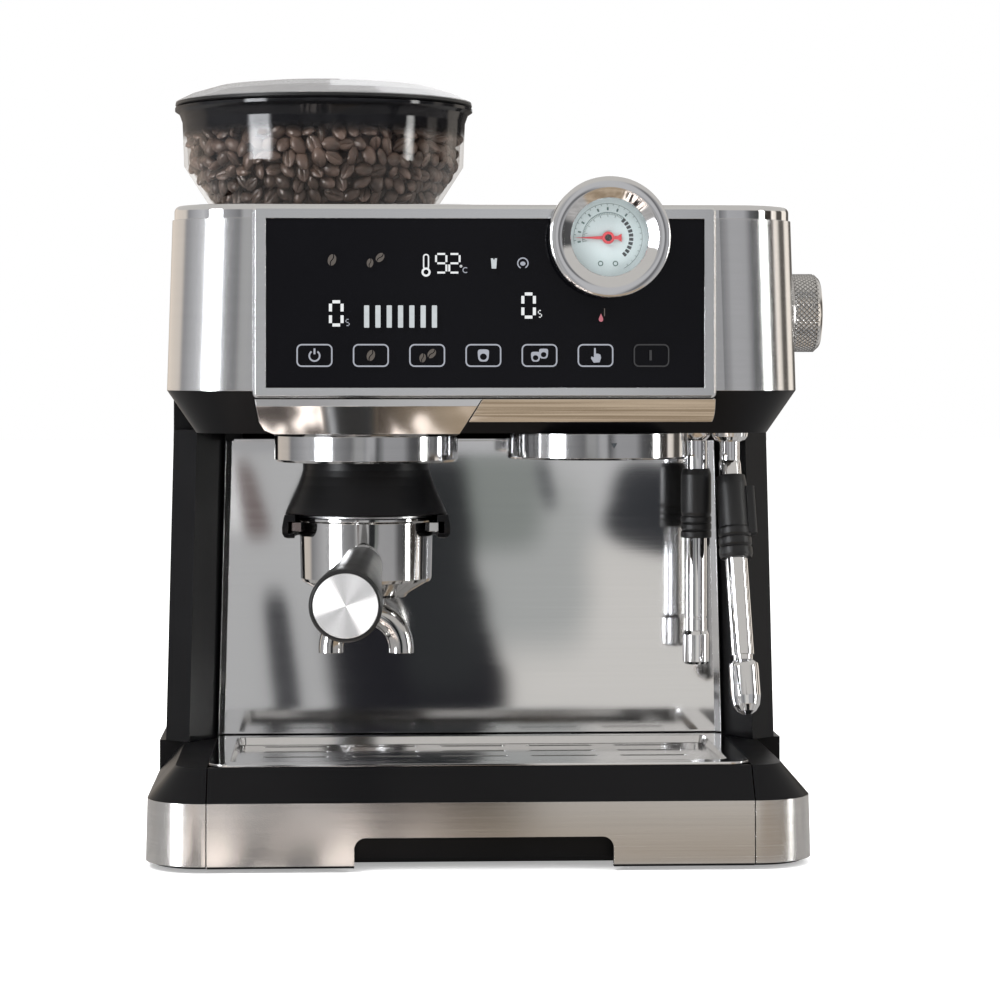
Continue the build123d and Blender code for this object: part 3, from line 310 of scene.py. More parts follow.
@dataclass(frozen=True)
class SpunDisc(Finish):
    """Metal disc with rings turned about an axis along y, with a painted highlight in two opposite fans.

    Attributes:
        centre: centre of the disc, in metres.
    """

    centre: tuple[float, float, float] = (0.0, 0.0, 0.0)

    def make(self) -> bpy.types.Material:
        """Builds the material."""
        g = Graph(self.name)
        x, _, z = g.xyz(tuple(-c for c in self.centre))
        radius = (x * x + z * z) ** 0.5
        ring = (radius * 14000.0).call("SINE") * 0.5 + 0.5
        angle = z.call("ARCTAN2", x)
        # painted highlight: base colour lighter in two opposite fans and six faint spokes by angle, the
        # fans also rougher
        painted_sheen_fan = ((angle * 2.0 + 0.75).call("COSINE") * 0.5 + 0.5).smooth(0.45, 0.8)
        thin = (angle * 6.0 + 0.6).call("SINE") * 0.16 + painted_sheen_fan * 0.75 + 0.2
        shader = g.skin(
            {
                "Base Color": g.spread(self.colour, 0.62, 1.2, thin),
                "Metallic": 0.6,
                "Roughness": painted_sheen_fan * 0.42 + ring * 0.08 + self.roughness,
                "Normal": g.relief(ring, 0.3, self.relief),
            }
        )
        return g.close(shader)


@dataclass(frozen=True)
class Knurl(Finish):
    """Chrome cut by a diamond knurl about an axis along x, with painted shade in the cuts.

    Attributes:
        centre: y and z of the axis, in metres.
        radius: radius of the knurl, in metres.
        count: cuts round the knurl.
    """

    centre: tuple[float, float] = (0.0, 0.0)
    radius: float = 0.02
    count: int = 48

    def make(self) -> bpy.types.Material:
        """Builds the material: cuts at whole values of (R t +- x) / pitch."""
        g = Graph(self.name)
        x, y, z = g.xyz((0.0, -self.centre[0], -self.centre[1]))
        along = z.call("ARCTAN2", y) * self.radius
        pitch = 2 * math.pi * self.radius / self.count
        cuts = [(((along + x * s) / pitch).call("FRACT") - 0.5).call("ABSOLUTE") for s in (1.0, -1.0)]
        land = cuts[0].call("MINIMUM", cuts[1]) * 2.0
        wall = (y * y + z * z) ** 0.5
        zone = wall.smooth(self.radius * 0.94, self.radius * 0.955)
        # painted shade: base colour darkened to 0.3 of the chrome in the knurl's cuts, which are also
        # rougher
        cut = (1.0 - land).smooth(0.58, 0.92) * zone
        shader = g.skin(
            {
                "Base Color": g.spread(self.colour, 1.0, 0.3, cut),
                "Metallic": 1.0,
                "Roughness": cut * 0.3 + self.roughness,
            }
        )
        return g.close(shader)


@dataclass(frozen=True)
class Clear(Finish):
    """Clear moulding: tinted see-through with a glossy skin stronger at the rim.

    Attributes:
        skin: share of the skin seen straight on.
        rim: share that the skin gains at the rim.
        power: bias of the rim.
        body: colour of what isn't see-through.
        milk: share that isn't see-through.
        shade_band: heights between which a dark band of painted shade sets in, in metres, and its share.
    """

    skin: float = 0.08
    rim: float = 0.6
    power: float = 0.35
    body: tuple[float, float, float] = (0.02, 0.02, 0.021)
    milk: float = 0.0
    shade_band: "tuple[float, float, float] | None" = None

    def make(self) -> bpy.types.Material:
        """Builds the material, with a band of painted shade between two heights where asked."""
        g = Graph(self.name)
        smear = g.noise(g.place((40.0, 40.0, 12.0)), 1.0, 4.0)
        facing = g.node("ShaderNodeLayerWeight", {"Blend": self.power}, out="Facing")
        through = g.node("ShaderNodeBsdfTransparent", {"Color": rgba(self.colour)})
        # opaque body: the plastic's own tint where milky, and painted shade in the band
        dye_and_shade = g.skin({"Base Color": g.spread(self.body, 0.7, 1.3, smear), "Specular IOR Level": 0.0})
        gloss = g.skin(
            {
                "Base Color": rgba((0.9, 0.9, 0.91)),
                "Metallic": 1.0,
                "Roughness": smear * 0.05 + self.roughness,
            }
        )
        depth = smear * 0.06 + self.milk
        # painted shade: above the given height the bowl turns to an opaque dark body, standing in for the
        # shade inside the bowl under the lid
        if self.shade_band:
            low, high, full = self.shade_band
            depth = depth + g.xyz()[2].smooth(low, high) * full
        share = facing ** 2.0 * self.rim + self.skin + (smear - 0.5) * 0.03
        return g.close(g.mix(share, g.mix(depth, through, dye_and_shade), gloss))


@dataclass(frozen=True)
class Pane(Finish):
    """Thin glass in front of a print: mostly see-through with a clean reflection.

    Attributes:
        skin: share of the reflection.
    """

    skin: float = 0.06

    def make(self) -> bpy.types.Material:
        """Builds the material."""
        g = Graph(self.name)
        smear = g.noise(g.place(), 90.0, 3.0)
        through = g.node("ShaderNodeBsdfTransparent", {"Color": rgba(self.colour)})
        gloss = g.skin(
            {
                "Base Color": rgba((0.9, 0.9, 0.9)),
                "Metallic": 1.0,
                "Roughness": smear * 0.05 + self.roughness,
            }
        )
        return g.close(g.mix(smear * 0.03 + self.skin, through, gloss))


@dataclass(frozen=True)
class Lit(Finish):
    """Print lit from behind, slightly uneven."""

    def make(self) -> bpy.types.Material:
        """Builds the material."""
        g = Graph(self.name)
        cloud = g.noise(g.place(), 420.0, 2.0)
        shader = g.skin(
            {
                "Base Color": rgba((0.01, 0.01, 0.01)),
                "Roughness": self.roughness,
                "Emission Color": g.spread(self.colour, 0.78, 1.0, cloud),
                "Emission Strength": 1.0,
            }
        )
        return g.close(shader)


@dataclass(frozen=True)
class Roast(Finish):
    """Oily roasted skin that varies from bean to bean."""

    def make(self) -> bpy.types.Material:
        """Builds the material."""
        g = Graph(self.name)
        cell = g.node("ShaderNodeTexVoronoi", {"Vector": g.place(), "Scale": 115.0}, out="Distance")
        mottle = g.noise(g.place(), 900.0, 4.0)
        patch = g.noise(g.place(), 70.0, 2.0)
        shade = (cell * 0.45 + mottle * 0.3 + patch * 0.5).smooth(0.25, 0.85)
        shader = g.skin(
            {
                "Base Color": g.spread(self.colour, 0.4, 1.9, shade),
                "Roughness": mottle * 0.2 + self.roughness,
                "Normal": g.relief(mottle, 0.6, self.relief),
                "Coat Weight": 0.4,
                "Coat Roughness": 0.2,
            }
        )
        return g.close(shader)


BRUSHED = Metal(
    "brushed_steel", (0.64, 0.63, 0.62), 0.24,
    edge=0.0003, relief=0.000012, marks=Axis.LEVEL, streak=0.16, anisotropy=0.5,
)
WRAP = Metal(
    "wrap_steel", (0.74, 0.74, 0.745), 0.17, relief=0.000006, marks=Axis.LEVEL, streak=0.07, anisotropy=0.3
)
MIRROR = Metal(
    "polished_steel", (0.76, 0.76, 0.765), 0.075,
    edge=0.0005, relief=0.000006, marks=Axis.LEVEL, streak=0.05, wave=0.0003,
)
GRID = Metal("grid_steel", (0.75, 0.75, 0.755), 0.1, edge=0.0006, relief=0.000002, streak=0.05)
COLLAR = Metal("turned_steel", (0.58, 0.58, 0.585), 0.1, relief=0.000006, marks=Axis.LEVEL, anisotropy=0.3)
CHROME = Metal("chrome", (0.78, 0.78, 0.79), 0.05, relief=0.000001, streak=0.03)
# the knob's knurl carries painted shade in its cuts
KNURL = Knurl("knurled_chrome", (0.8, 0.79, 0.78), 0.09, centre=(-0.06, 0.269))
BODY = Metal("plated_body", (0.62, 0.615, 0.61), 0.08, relief=0.000003, streak=0.05)
PRESSED = Metal("pressed_chrome", (0.78, 0.775, 0.77), 0.06, relief=0.000001, streak=0.03, wave=0.00015)
SATIN = Metal(
    "satin_frame", (0.8, 0.81, 0.82), 0.2, edge=0.0003, relief=0.000004, marks=Axis.LEVEL, streak=0.06
)
INNER = Metal("inner_steel", (0.58, 0.58, 0.59), 0.3, relief=0.00001, streak=0.1)
CAST = Metal("cast_metal", (0.48, 0.48, 0.49), 0.45, relief=0.00006, streak=0.2)
BRASS = Metal("brass", (0.62, 0.46, 0.2), 0.28, relief=0.00001, streak=0.1)
BLACK = Finish("black_body", (0.003, 0.003, 0.0035), 0.34, specular=0.15)
GLASS = Finish("touch_glass", (0.0022, 0.0022, 0.003), 0.09, grain=300.0, relief=0.0, specular=0.12)
HANDLE = Finish("handle_black", (0.006, 0.006, 0.0065), 0.34, edge=0.0006, specular=0.4)
RUBBER = Finish("grip_rubber", (0.006, 0.006, 0.0065), 0.42, edge=0.0003, specular=0.4)
CASE = Finish("gauge_case", (0.02, 0.02, 0.021), 0.4)
MOTOR = Finish("motor_can", (0.07, 0.07, 0.075), 0.4)
BOARD = Finish("circuit_board", (0.02, 0.12, 0.05), 0.5, grain=500.0)
HOSE = Finish("hose", (0.7, 0.7, 0.68), 0.35)
DIAL = Finish("dial_face", (0.7, 0.75, 0.76), 0.45, grain=3000.0)
INK = Finish("dial_ink", (0.02, 0.025, 0.03), 0.5, grain=3000.0)
INK_SOFT = Finish("dial_ink_soft", (0.09, 0.16, 0.15), 0.5, grain=3000.0)
RED = Finish("needle_red", (0.72, 0.03, 0.045), 0.35)
LID_BLACK = Finish("tank_lid", (0.006, 0.006, 0.0065), 0.34, specular=0.3)
MARK = Finish("level_mark", (0.45, 0.46, 0.47), 0.4, grain=900.0)
LENS = Pane("lens", (0.96, 0.98, 0.98), 0.02)
# Bowl: nearly clear, with a band of painted shade high up under the lid
SMOKY = Clear(
    "smoky_clear", (0.92, 0.91, 0.9), 0.03,
    skin=0.02, rim=0.26, body=(0.006, 0.006, 0.007), shade_band=(0.360, 0.3675, 0.84),
)
SMOKY_LID = Clear(
    "smoky_lid", (0.95, 0.95, 0.95), 0.05, skin=0.12, rim=0.3, body=(0.25, 0.25, 0.255), milk=0.34
)
TANK = Clear("tank_clear", (0.72, 0.75, 0.77), 0.05, skin=0.05, rim=0.4, milk=0.3)
BEANS = Roast("beans", (0.066, 0.044, 0.035), 0.3, relief=0.00012)
WHITE_LIT = Lit("lit_white", (0.93, 0.95, 0.96), 0.3)
BAR_LIT = Lit("lit_bar", (0.62, 0.66, 0.68), 0.3)
KEY_LIT = Lit("lit_key", (0.42, 0.44, 0.5), 0.3)
BEAN_LIT = Lit("lit_bean", (0.1, 0.083, 0.07), 0.3)
DIM_LIT = Lit("lit_dim", (0.022, 0.022, 0.024), 0.3)
RED_LIT = Lit("lit_red", (0.55, 0.16, 0.2), 0.3)


class Shelf:
    """Materials made once each."""

    made: dict[str, bpy.types.Material] = {}

    @classmethod
    def take(cls, finish: Finish) -> bpy.types.Material:
        """The material of a finish, made on first use.

        Args:
            finish: finish to look up.

        Returns:
            The material.
        """
        if finish.name not in cls.made:
            cls.made[finish.name] = finish.make()
        return cls.made[finish.name]


def dress(finish: Finish, *nodes: str) -> None:
    """Gives CAD nodes a finish.

    Args:
        finish: finish to apply.
        nodes: CAD node names.
    """
    for name in nodes:
        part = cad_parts[name]
        if not part.material_slots:
            part.data.materials.append(None)
        for place in part.material_slots:
            place.link = "OBJECT"
            place.material = Shelf.take(finish)


def piece(
    name: str,
    points: np.ndarray,
    faces: Iterable[Sequence[int]],
    finish: Finish,
    body: str,
    slot: str,
    smooth: "float | None" = 40.0,
) -> bpy.types.Object:
    """Makes a mesh that rides on a CAD body.

    Args:
        name: object name.
        points: vertices in metres, one row each.
        faces: vertex numbers of each face.
        finish: finish of the piece.
        body: CAD body it moves with.
        slot: material slot of the record; not used.
        smooth: angle above which an edge stays sharp, or None for flat faces.

    Returns:
        The new object.
    """
    mesh = bpy.data.meshes.new(name)
    mesh.from_pydata(np.asarray(points, float), [], [list(map(int, f)) for f in faces])
    mesh.materials.append(Shelf.take(finish))
    if smooth is not None:
        mesh.polygons.foreach_set("use_smooth", np.ones(len(mesh.polygons), bool))
        mesh.set_sharp_from_angle(angle=math.radians(smooth))
    mesh.update()
    made = bpy.data.objects.new(name, mesh)
    bpy.context.scene.collection.objects.link(made)
    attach(made, body)
    return made


def grid_faces(rows: int, columns: int, wrap: bool) -> np.ndarray:
    """Quads of a rows by columns grid of vertices.

    Args:
        rows: vertex rows.
        columns: vertex columns.
        wrap: whether the last column joins the first.

    Returns:
        Vertex numbers, four per face.
    """
    across = columns if wrap else columns - 1
    i, j = np.meshgrid(np.arange(rows - 1), np.arange(across), indexing="ij")
    k = (j + 1) % columns
    low, high = i * columns, (i + 1) * columns
    return np.stack([low + j, low + k, high + k, high + j], -1).reshape(-1, 4)


def turned(
    axis: int, centre: Sequence[float], along: np.ndarray, radius: np.ndarray, count: int
) -> tuple[np.ndarray, np.ndarray]:
    """Surface of revolution: rings of radius r at places s along an axis.

    With the axis along z it is x = r cos t, y = r sin t, z = s, and the same
    with the coordinates in turn for the other axes.

    Args:
        axis: 0, 1 or 2 for an axis along x, y or z.
        centre: the two other coordinates of the axis, in millimetres like the rest.
        along: place of each ring, as one column or with a value for each point.
        radius: radius of each ring, likewise.
        count: points of a ring.

    Returns:
        Vertices in metres, and faces.
    """
    t = np.linspace(0, 2 * np.pi, count, endpoint=False)
    rings = [centre[0] + radius * np.cos(t), centre[1] + radius * np.sin(t)]
    rows = len(rings[0])
    rings.insert(axis, np.broadcast_to(along, (rows, count)))
    return np.stack(rings, -1).reshape(-1, 3) * MM, grid_faces(rows, count, True)


def slab(front: np.ndarray, shift: Sequence[float]) -> tuple[np.ndarray, list]:
    """Closed plate from a front grid of points, rows going down and columns to the right.

    Args:
        front: rows by columns of points.
        shift: step from the front to the back.

    Returns:
        Vertices and faces.
    """
    rows, columns = front.shape[:2]
    count = rows * columns
    quads = grid_faces(rows, columns, False)
    at = np.arange(count).reshape(rows, columns)
    rim = np.concatenate([at[0], at[1:, -1], at[-1, -2::-1], at[-2:0:-1, 0]])
    after = np.roll(rim, -1)
    edge = np.stack([rim, after, after + count, rim + count], -1)
    points = np.concatenate([front.reshape(-1, 3), front.reshape(-1, 3) + shift])
    return points, [*quads[:, ::-1], *(quads + count), *edge]


class Ink:
    """Flat print gathered as polygons in a plane x, z, and made as one mesh."""

    def __init__(self) -> None:
        """Starts without a polygon."""
        self.points: list[np.ndarray] = []
        self.faces: list[list[int]] = []
        self.count = 0

    def fill(self, loop: np.ndarray) -> "Ink":
        """Adds a filled polygon given by its loop of x, z points."""
        loop = np.asarray(loop, float)
        self.faces.append(list(range(self.count, self.count + len(loop))))
        self.points.append(loop)
        self.count += len(loop)
        return self

    def band(self, outer: np.ndarray, inner: np.ndarray, closed: bool = True) -> "Ink":
        """Adds the strip between two loops of the same length."""
        n = len(outer)
        for a in range(n if closed else n - 1):
            b = (a + 1) % n
            self.faces.append([self.count + a, self.count + b, self.count + n + b, self.count + n + a])
        self.points += [np.asarray(outer, float), np.asarray(inner, float)]
        self.count += 2 * n
        return self

    def make(self, name: str, y: float, finish: Finish, body: str, slot: str) -> bpy.types.Object:
        """Makes the mesh, facing the front.

        Args:
            name: object name.
            y: depth of the print, in millimetres.
            finish: finish of the print.
            body: CAD body it moves with.
            slot: material slot of the record; passed on to piece, which doesn't use it.

        Returns:
            The new object.
        """
        flat = np.concatenate(self.points)
        space = np.stack([flat[:, 0], np.full(len(flat), y), flat[:, 1]], -1) * MM
        facing = []
        for loop in self.faces:
            p = flat[loop]
            q = np.roll(p, -1, 0)
            area = np.sum(p[:, 0] * q[:, 1] - q[:, 0] * p[:, 1])
            facing.append(loop if area > 0 else loop[::-1])
        return piece(name, space, facing, finish, body, slot, None)


def lay(loop: np.ndarray, x: float, z: float, turn: float) -> np.ndarray:
    """Loop turned by an angle in degrees and moved to x, z."""
    c, s = math.cos(math.radians(turn)), math.sin(math.radians(turn))
    return loop @ np.array([[c, s], [-s, c]]) + [x, z]


def ellipse(x: float, z: float, rx: float, rz: float, n: int = 32) -> np.ndarray:
    """Ellipse x = rx cos t, z = rz sin t."""
    t = np.linspace(0, 2 * np.pi, n, endpoint=False)
    return np.stack([x + rx * np.cos(t), z + rz * np.sin(t)], -1)


def soft_box(x: float, z: float, w: float, h: float, r: float, n: int = 6) -> np.ndarray:
    """Rounded rectangle: four quarter arcs of radius r at the corners of w by h."""
    t = np.linspace(0, np.pi / 2, n)
    corners = [(1, 1, 0), (-1, 1, 1), (-1, -1, 2), (1, -1, 3)]
    arcs = [
        np.stack(
            [
                x + sx * (w / 2 - r) + r * np.cos(t + q * np.pi / 2),
                z + sz * (h / 2 - r) + r * np.sin(t + q * np.pi / 2),
            ],
            -1,
        )
        for sx, sz, q in corners
    ]
    return np.concatenate(arcs)


def arc_band(
    ink: Ink, x: float, z: float, r0: float, r1: float, a0: float, a1: float, n: int = 24
) -> None:
    """Adds a ring sector between two radii and two angles in degrees."""
    t = np.radians(np.linspace(a0, a1, n))
    ring = np.stack([np.cos(t), np.sin(t)], -1)
    ink.band(np.array([x, z]) + r1 * ring, np.array([x, z]) + r0 * ring, closed=False)


def stroke(ink: Ink, x0: float, z0: float, x1: float, z1: float, w: float) -> None:
    """Adds a straight bar of width w between two points."""
    d = np.array([x1 - x0, z1 - z0])
    n = np.array([-d[1], d[0]]) / np.hypot(*d) * w / 2
    a, b = np.array([x0, z0]), np.array([x1, z1])
    ink.fill(np.array([a - n, b - n, b + n, a + n]))


class SevenSegment:
    """Digits of seven bars."""

    BARS = {"0": "abcdef", "2": "abdeg", "5": "acdfg", "9": "abcdfg"}

    @classmethod
    def draw(
        cls, ink: Ink, text: str, x: float, z: float, w: float, h: float, bar: float, pitch: float
    ) -> None:
        """Adds digits.

        Args:
            ink: print to add to.
            text: digits to draw.
            x: left edge of the first digit.
            z: lower edge.
            w: width of a digit.
            h: height of a digit.
            bar: thickness of a bar.
            pitch: step from digit to digit.
        """
        gap = bar * 0.62
        m = z + h / 2
        for k, digit in enumerate(text):
            left = x + k * pitch
            right = left + w
            spans = {
                "a": (left + gap, z + h, right - gap, z + h),
                "b": (right, m + gap, right, z + h - gap),
                "c": (right, z + gap, right, m - gap),
                "d": (left + gap, z, right - gap, z),
                "e": (left, z + gap, left, m - gap),
                "f": (left, m + gap, left, z + h - gap),
                "g": (left + gap, m, right - gap, m),
            }
            for name in cls.BARS[digit]:
                stroke(ink, *spans[name], bar)


def bean_mark(ink: Ink, x: float, z: float, size: float, turn: float) -> None:
    """Adds a coffee bean: an ellipse cut in two by an S-shaped slit."""
    t = np.linspace(-1, 1, 15)
    rim_t = np.linspace(np.pi / 2, np.pi / 2 + np.pi, 15)
    for s in (-1, 1):
        slit = np.stack([s * 0.09 + 0.16 * np.sin(np.pi * t), 0.97 * t], -1)
        rim = np.stack([s * 0.72 * np.abs(np.cos(rim_t)), np.sin(rim_t)], -1)
        ink.fill(lay(np.concatenate([slit, rim]) * size / 2, x, z, turn))


def cup_mark(ink: Ink, x: float, z: float, size: float) -> None:
    """Adds a small glass: a tapered outline with a round dark opening."""
    t = np.linspace(0, 2 * np.pi, 24, endpoint=False)
    c, s = np.cos(t), np.sin(t)
    half = 0.43 + 0.07 * s
    outer = np.stack([np.sign(c) * np.abs(c) ** 0.45 * half, np.sign(s) * np.abs(s) ** 0.6 * 0.48], -1)
    inner = np.stack([0.27 * c, 0.25 * s - 0.1], -1)
    spot = np.array([x, z])
    ink.band(spot + outer * size, spot + inner * size)


@dataclass(frozen=True)
class ControlPanel:
    """Black touch glass in a satin frame with lit keys and read-outs.

    Attributes:
        face: depth of the print, in millimetres like the rest.
        first_key: centre of the first key.
        key_step: step from key to key.
        key_z: height of the keys' centres.
        key_w: width of a key.
        key_h: height of a key.
        key_line: width of a key's outline.
        key_round: radius of a key's corners.
        scale: millimetres on the glass for a pixel of the front view.
    """

    face: float = -139.3
    first_key: float = -80.2
    key_step: float = 27.2
    key_z: float = 247.2
    key_w: float = 17.4
    key_h: float = 11.1
    key_line: float = 0.7
    key_round: float = 2.6
    scale: float = 0.4832

    PRINTS = {
        "keys": KEY_LIT, "white": WHITE_LIT, "bars": BAR_LIT,
        "beans": BEAN_LIT, "dim": DIM_LIT, "red": RED_LIT,
    }
    HAND = (
        (-0.7, 3.6), (0.1, 3.6), (0.2, 0.9), (1.2, 0.9), (2.4, 0.4), (2.7, -1.2), (2.0, -3.3), (-0.9, -3.5),
        (-2.2, -1.4), (-2.0, -0.5), (-0.8, -0.9),
    )
    TUMBLER = ((-1.5, 2.6), (-0.5, 2.6), (0.0, 1.7), (0.5, 2.6), (1.5, 2.6), (1.1, -2.4), (-1.1, -2.4))

    def at(self, px: float, py: float) -> tuple[float, float]:
        """Place on the glass of a point of the front view, in millimetres."""
        return (
            (px - AXIS_PX[0]) * self.scale + EYE[0] / MM,
            (AXIS_PX[1] - py) * self.scale + EYE[2] / MM,
        )

    def key(self, ink: Ink, number: int) -> float:
        """Adds the outline of a key and returns its centre."""
        x = self.first_key + number * self.key_step
        line = self.key_line
        ink.band(
            soft_box(x, self.key_z, self.key_w, self.key_h, self.key_round),
            soft_box(x, self.key_z, self.key_w - 2 * line, self.key_h - 2 * line, self.key_round - line),
        )
        return x

    def key_row(self, inks: dict[str, Ink]) -> None:
        """Adds the keys and their signs."""
        keys, beans, dim = inks["keys"], inks["beans"], inks["dim"]
        spots = [self.key(keys, n) for n in range(6)]
        z = self.key_z
        arc_band(keys, spots[0], z - 0.2, 2.1, 2.9, 125, 415)
        stroke(keys, spots[0], z + 0.6, spots[0], z + 3.4, 0.9)
        bean_mark(beans, spots[1], z, 5.4, -18)
        bean_mark(beans, spots[2] - 2.2, z - 1.2, 4.4, -8)
        bean_mark(beans, spots[2] + 2.2, z + 0.9, 5.0, -38)
        cup_mark(keys, spots[3], z, 6.2)
        cup_mark(keys, spots[4] + 2.0, z + 0.9, 5.0)
        cup_mark(keys, spots[4] - 1.9, z - 0.6, 5.0)
        keys.fill(np.array(self.HAND) + [spots[5], z])
        ghost = self.key(dim, 6)
        stroke(dim, ghost - 0.4, z - 2.4, ghost - 0.4, z + 2.6, 1.2)

    def read_outs(self, inks: dict[str, Ink]) -> None:
        """Adds the signs and digits above the keys."""
        keys, white, bars, beans = inks["keys"], inks["white"], inks["bars"], inks["beans"]
        bean_mark(beans, *self.at(332, 260), 5.6, -14)
        bean_mark(beans, *self.at(370, 263), 4.4, -6)
        bean_mark(beans, *self.at(380, 257.5), 5.0, -40)
        x, z = self.at(426, 265)
        white.band(soft_box(x, z + 1.6, 3.0, 7.6, 1.45), soft_box(x, z + 1.6, 1.7, 6.3, 0.8))
        white.band(ellipse(x, z - 3.4, 2.2, 2.2), ellipse(x, z - 3.4, 1.2, 1.2))
        SevenSegment.draw(white, "92", *self.at(436, 272.5), 5.0, 9.0, 0.95, 6.4)
        x, z = self.at(465.5, 270)
        white.band(ellipse(x - 2.2, z + 1.9, 0.62, 0.62, 16), ellipse(x - 2.2, z + 1.9, 0.3, 0.3, 16))
        arc_band(keys, x, z, 1.0, 1.45, 50, 310, 16)
        bars.fill(np.array(self.TUMBLER) + self.at(494, 263.5))
        x, z = self.at(523, 263)
        arc_band(keys, x, z, 2.2, 2.8, -60, 245)
        keys.fill(ellipse(x, z - 0.2, 1.3, 1.0, 16))
        SevenSegment.draw(white, "0", *self.at(330.5, 325), 5.6, 11.2, 1.5, 7)
        SevenSegment.draw(keys, "5", *self.at(346, 325.6), 1.5, 3.0, 0.42, 2)
        SevenSegment.draw(white, "0", *self.at(523, 317), 5.6, 11.2, 1.5, 7)
        SevenSegment.draw(white, "5", *self.at(538.6, 317), 1.5, 3.2, 0.45, 2)
        for n in range(7):
            x, z = self.at(366.6 + n * 11.3, 316.5)
            bars.fill(soft_box(x, z, 2.5, 10.8, 0.3, 3))
        x, z = self.at(601.5, 319)
        peak = [(x + 1.0, z + 0.5), (x, z + 2.7), (x - 1.0, z + 0.5)]
        inks["red"].fill(np.concatenate([ellipse(x, z, 1.1, 1.3, 20)[10:], peak]))
        stroke(beans, x + 1.7, z + 1.4, x + 1.7, z + 5.2, 0.5)

    def build(self) -> None:
        """Dresses the glass and prints the panel."""
        dress(SATIN, "fascia_frame")
        dress(GLASS, "touch_glass")
        dress(BOARD, "display_board")
        inks = {name: Ink() for name in self.PRINTS}
        self.key_row(inks)
        self.read_outs(inks)
        for name, finish in self.PRINTS.items():
            inks[name].make(f"panel_{name}", self.face, finish, "chassis", "touch_glass")


@dataclass(frozen=True)
class Gauge:
    """Pressure gauge with a printed dial and a red needle.

    Attributes:
        x: centre of the dial, in millimetres like the rest.
        z: height of the centre.
        face: depth of the dial's print.
        hub: depth of the print on the needle's hub.
    """

    x: float = 61.4
    z: float = 304.0
    face: float = -145.06
    hub: float = -147.46

    # Depth towards the front, and radius
    BEZEL = (
        (145.2, 26.8), (145.2, 28.7), (145.5, 29.2), (158.7, 29.2), (159.3, 29.0), (159.8, 28.5),
        (160.0, 27.9), (160.0, 23.9), (159.85, 23.4), (159.5, 22.9), (157.1, 18.95), (156.7, 18.75),
        (151.3, 18.72),
    )

    def tick(self, ink: Ink, angle: float, low: float, high: float, width: float) -> None:
        """Adds a mark along a radius at an angle in degrees."""
        c, s = math.cos(math.radians(angle)), math.sin(math.radians(angle))
        stroke(ink, self.x + low * c, self.z + low * s, self.x + high * c, self.z + high * s, width)

    def print_dial(self) -> None:
        """Prints the scales and the hub."""
        ink, soft, hub = Ink(), Ink(), Ink()
        arc_band(soft, self.x, self.z, 16.5, 16.7, -62, 190, 60)
        arc_band(soft, self.x, self.z, 12.2, 12.45, 50, 190, 40)
        for n in range(36):
            angle = 188 - n * 3.9
            fifth = n % 5 == 0
            self.tick(soft, angle, 10.2 if fifth else 11.2, 12.3, 0.3)
            if fifth:
                self.tick(soft, angle, 13.3, 14.9, 0.85)
        for n in range(24):
            self.tick(soft, 185 - n * 10.4, 15.6, 16.5, 0.26)
        for n in range(10):
            middle = 48 - n * 10.3
            arc_band(ink, self.x, self.z, 10.2, 12.3, middle - 3.7, middle + 3.7, 6)
        for x in (-3.6, 3.6):
            rim, hole = (ellipse(self.x + x, self.z - 12.4, r, r, 20) for r in (1.35, 0.8))
            soft.band(rim, hole)
        ink.make("dial_blocks", self.face, INK, "chassis", "dial")
        soft.make("dial_ticks", self.face, INK_SOFT, "chassis", "dial")
        hub.fill(ellipse(self.x, self.z, 1.7, 1.7, 24))
        hub.make("needle_hub", self.hub, COLLAR, "gauge_needle", "needle")

    def build(self) -> None:
        """Dresses the gauge, turns its bezel and prints the dial."""
        dress(CASE, "gauge_case")
        dress(DIAL, "gauge_dial")
        dress(RED, "gauge_needle")
        dress(LENS, "gauge_lens")
        depth, radius = np.array(self.BEZEL).T[:, :, None]
        points, faces = turned(1, (self.x, self.z), -depth, radius, 160)
        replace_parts(piece("bezel_ring", points, faces, CHROME, "chassis", "chrome", 28.0), "gauge_bezel")
        self.print_dial()


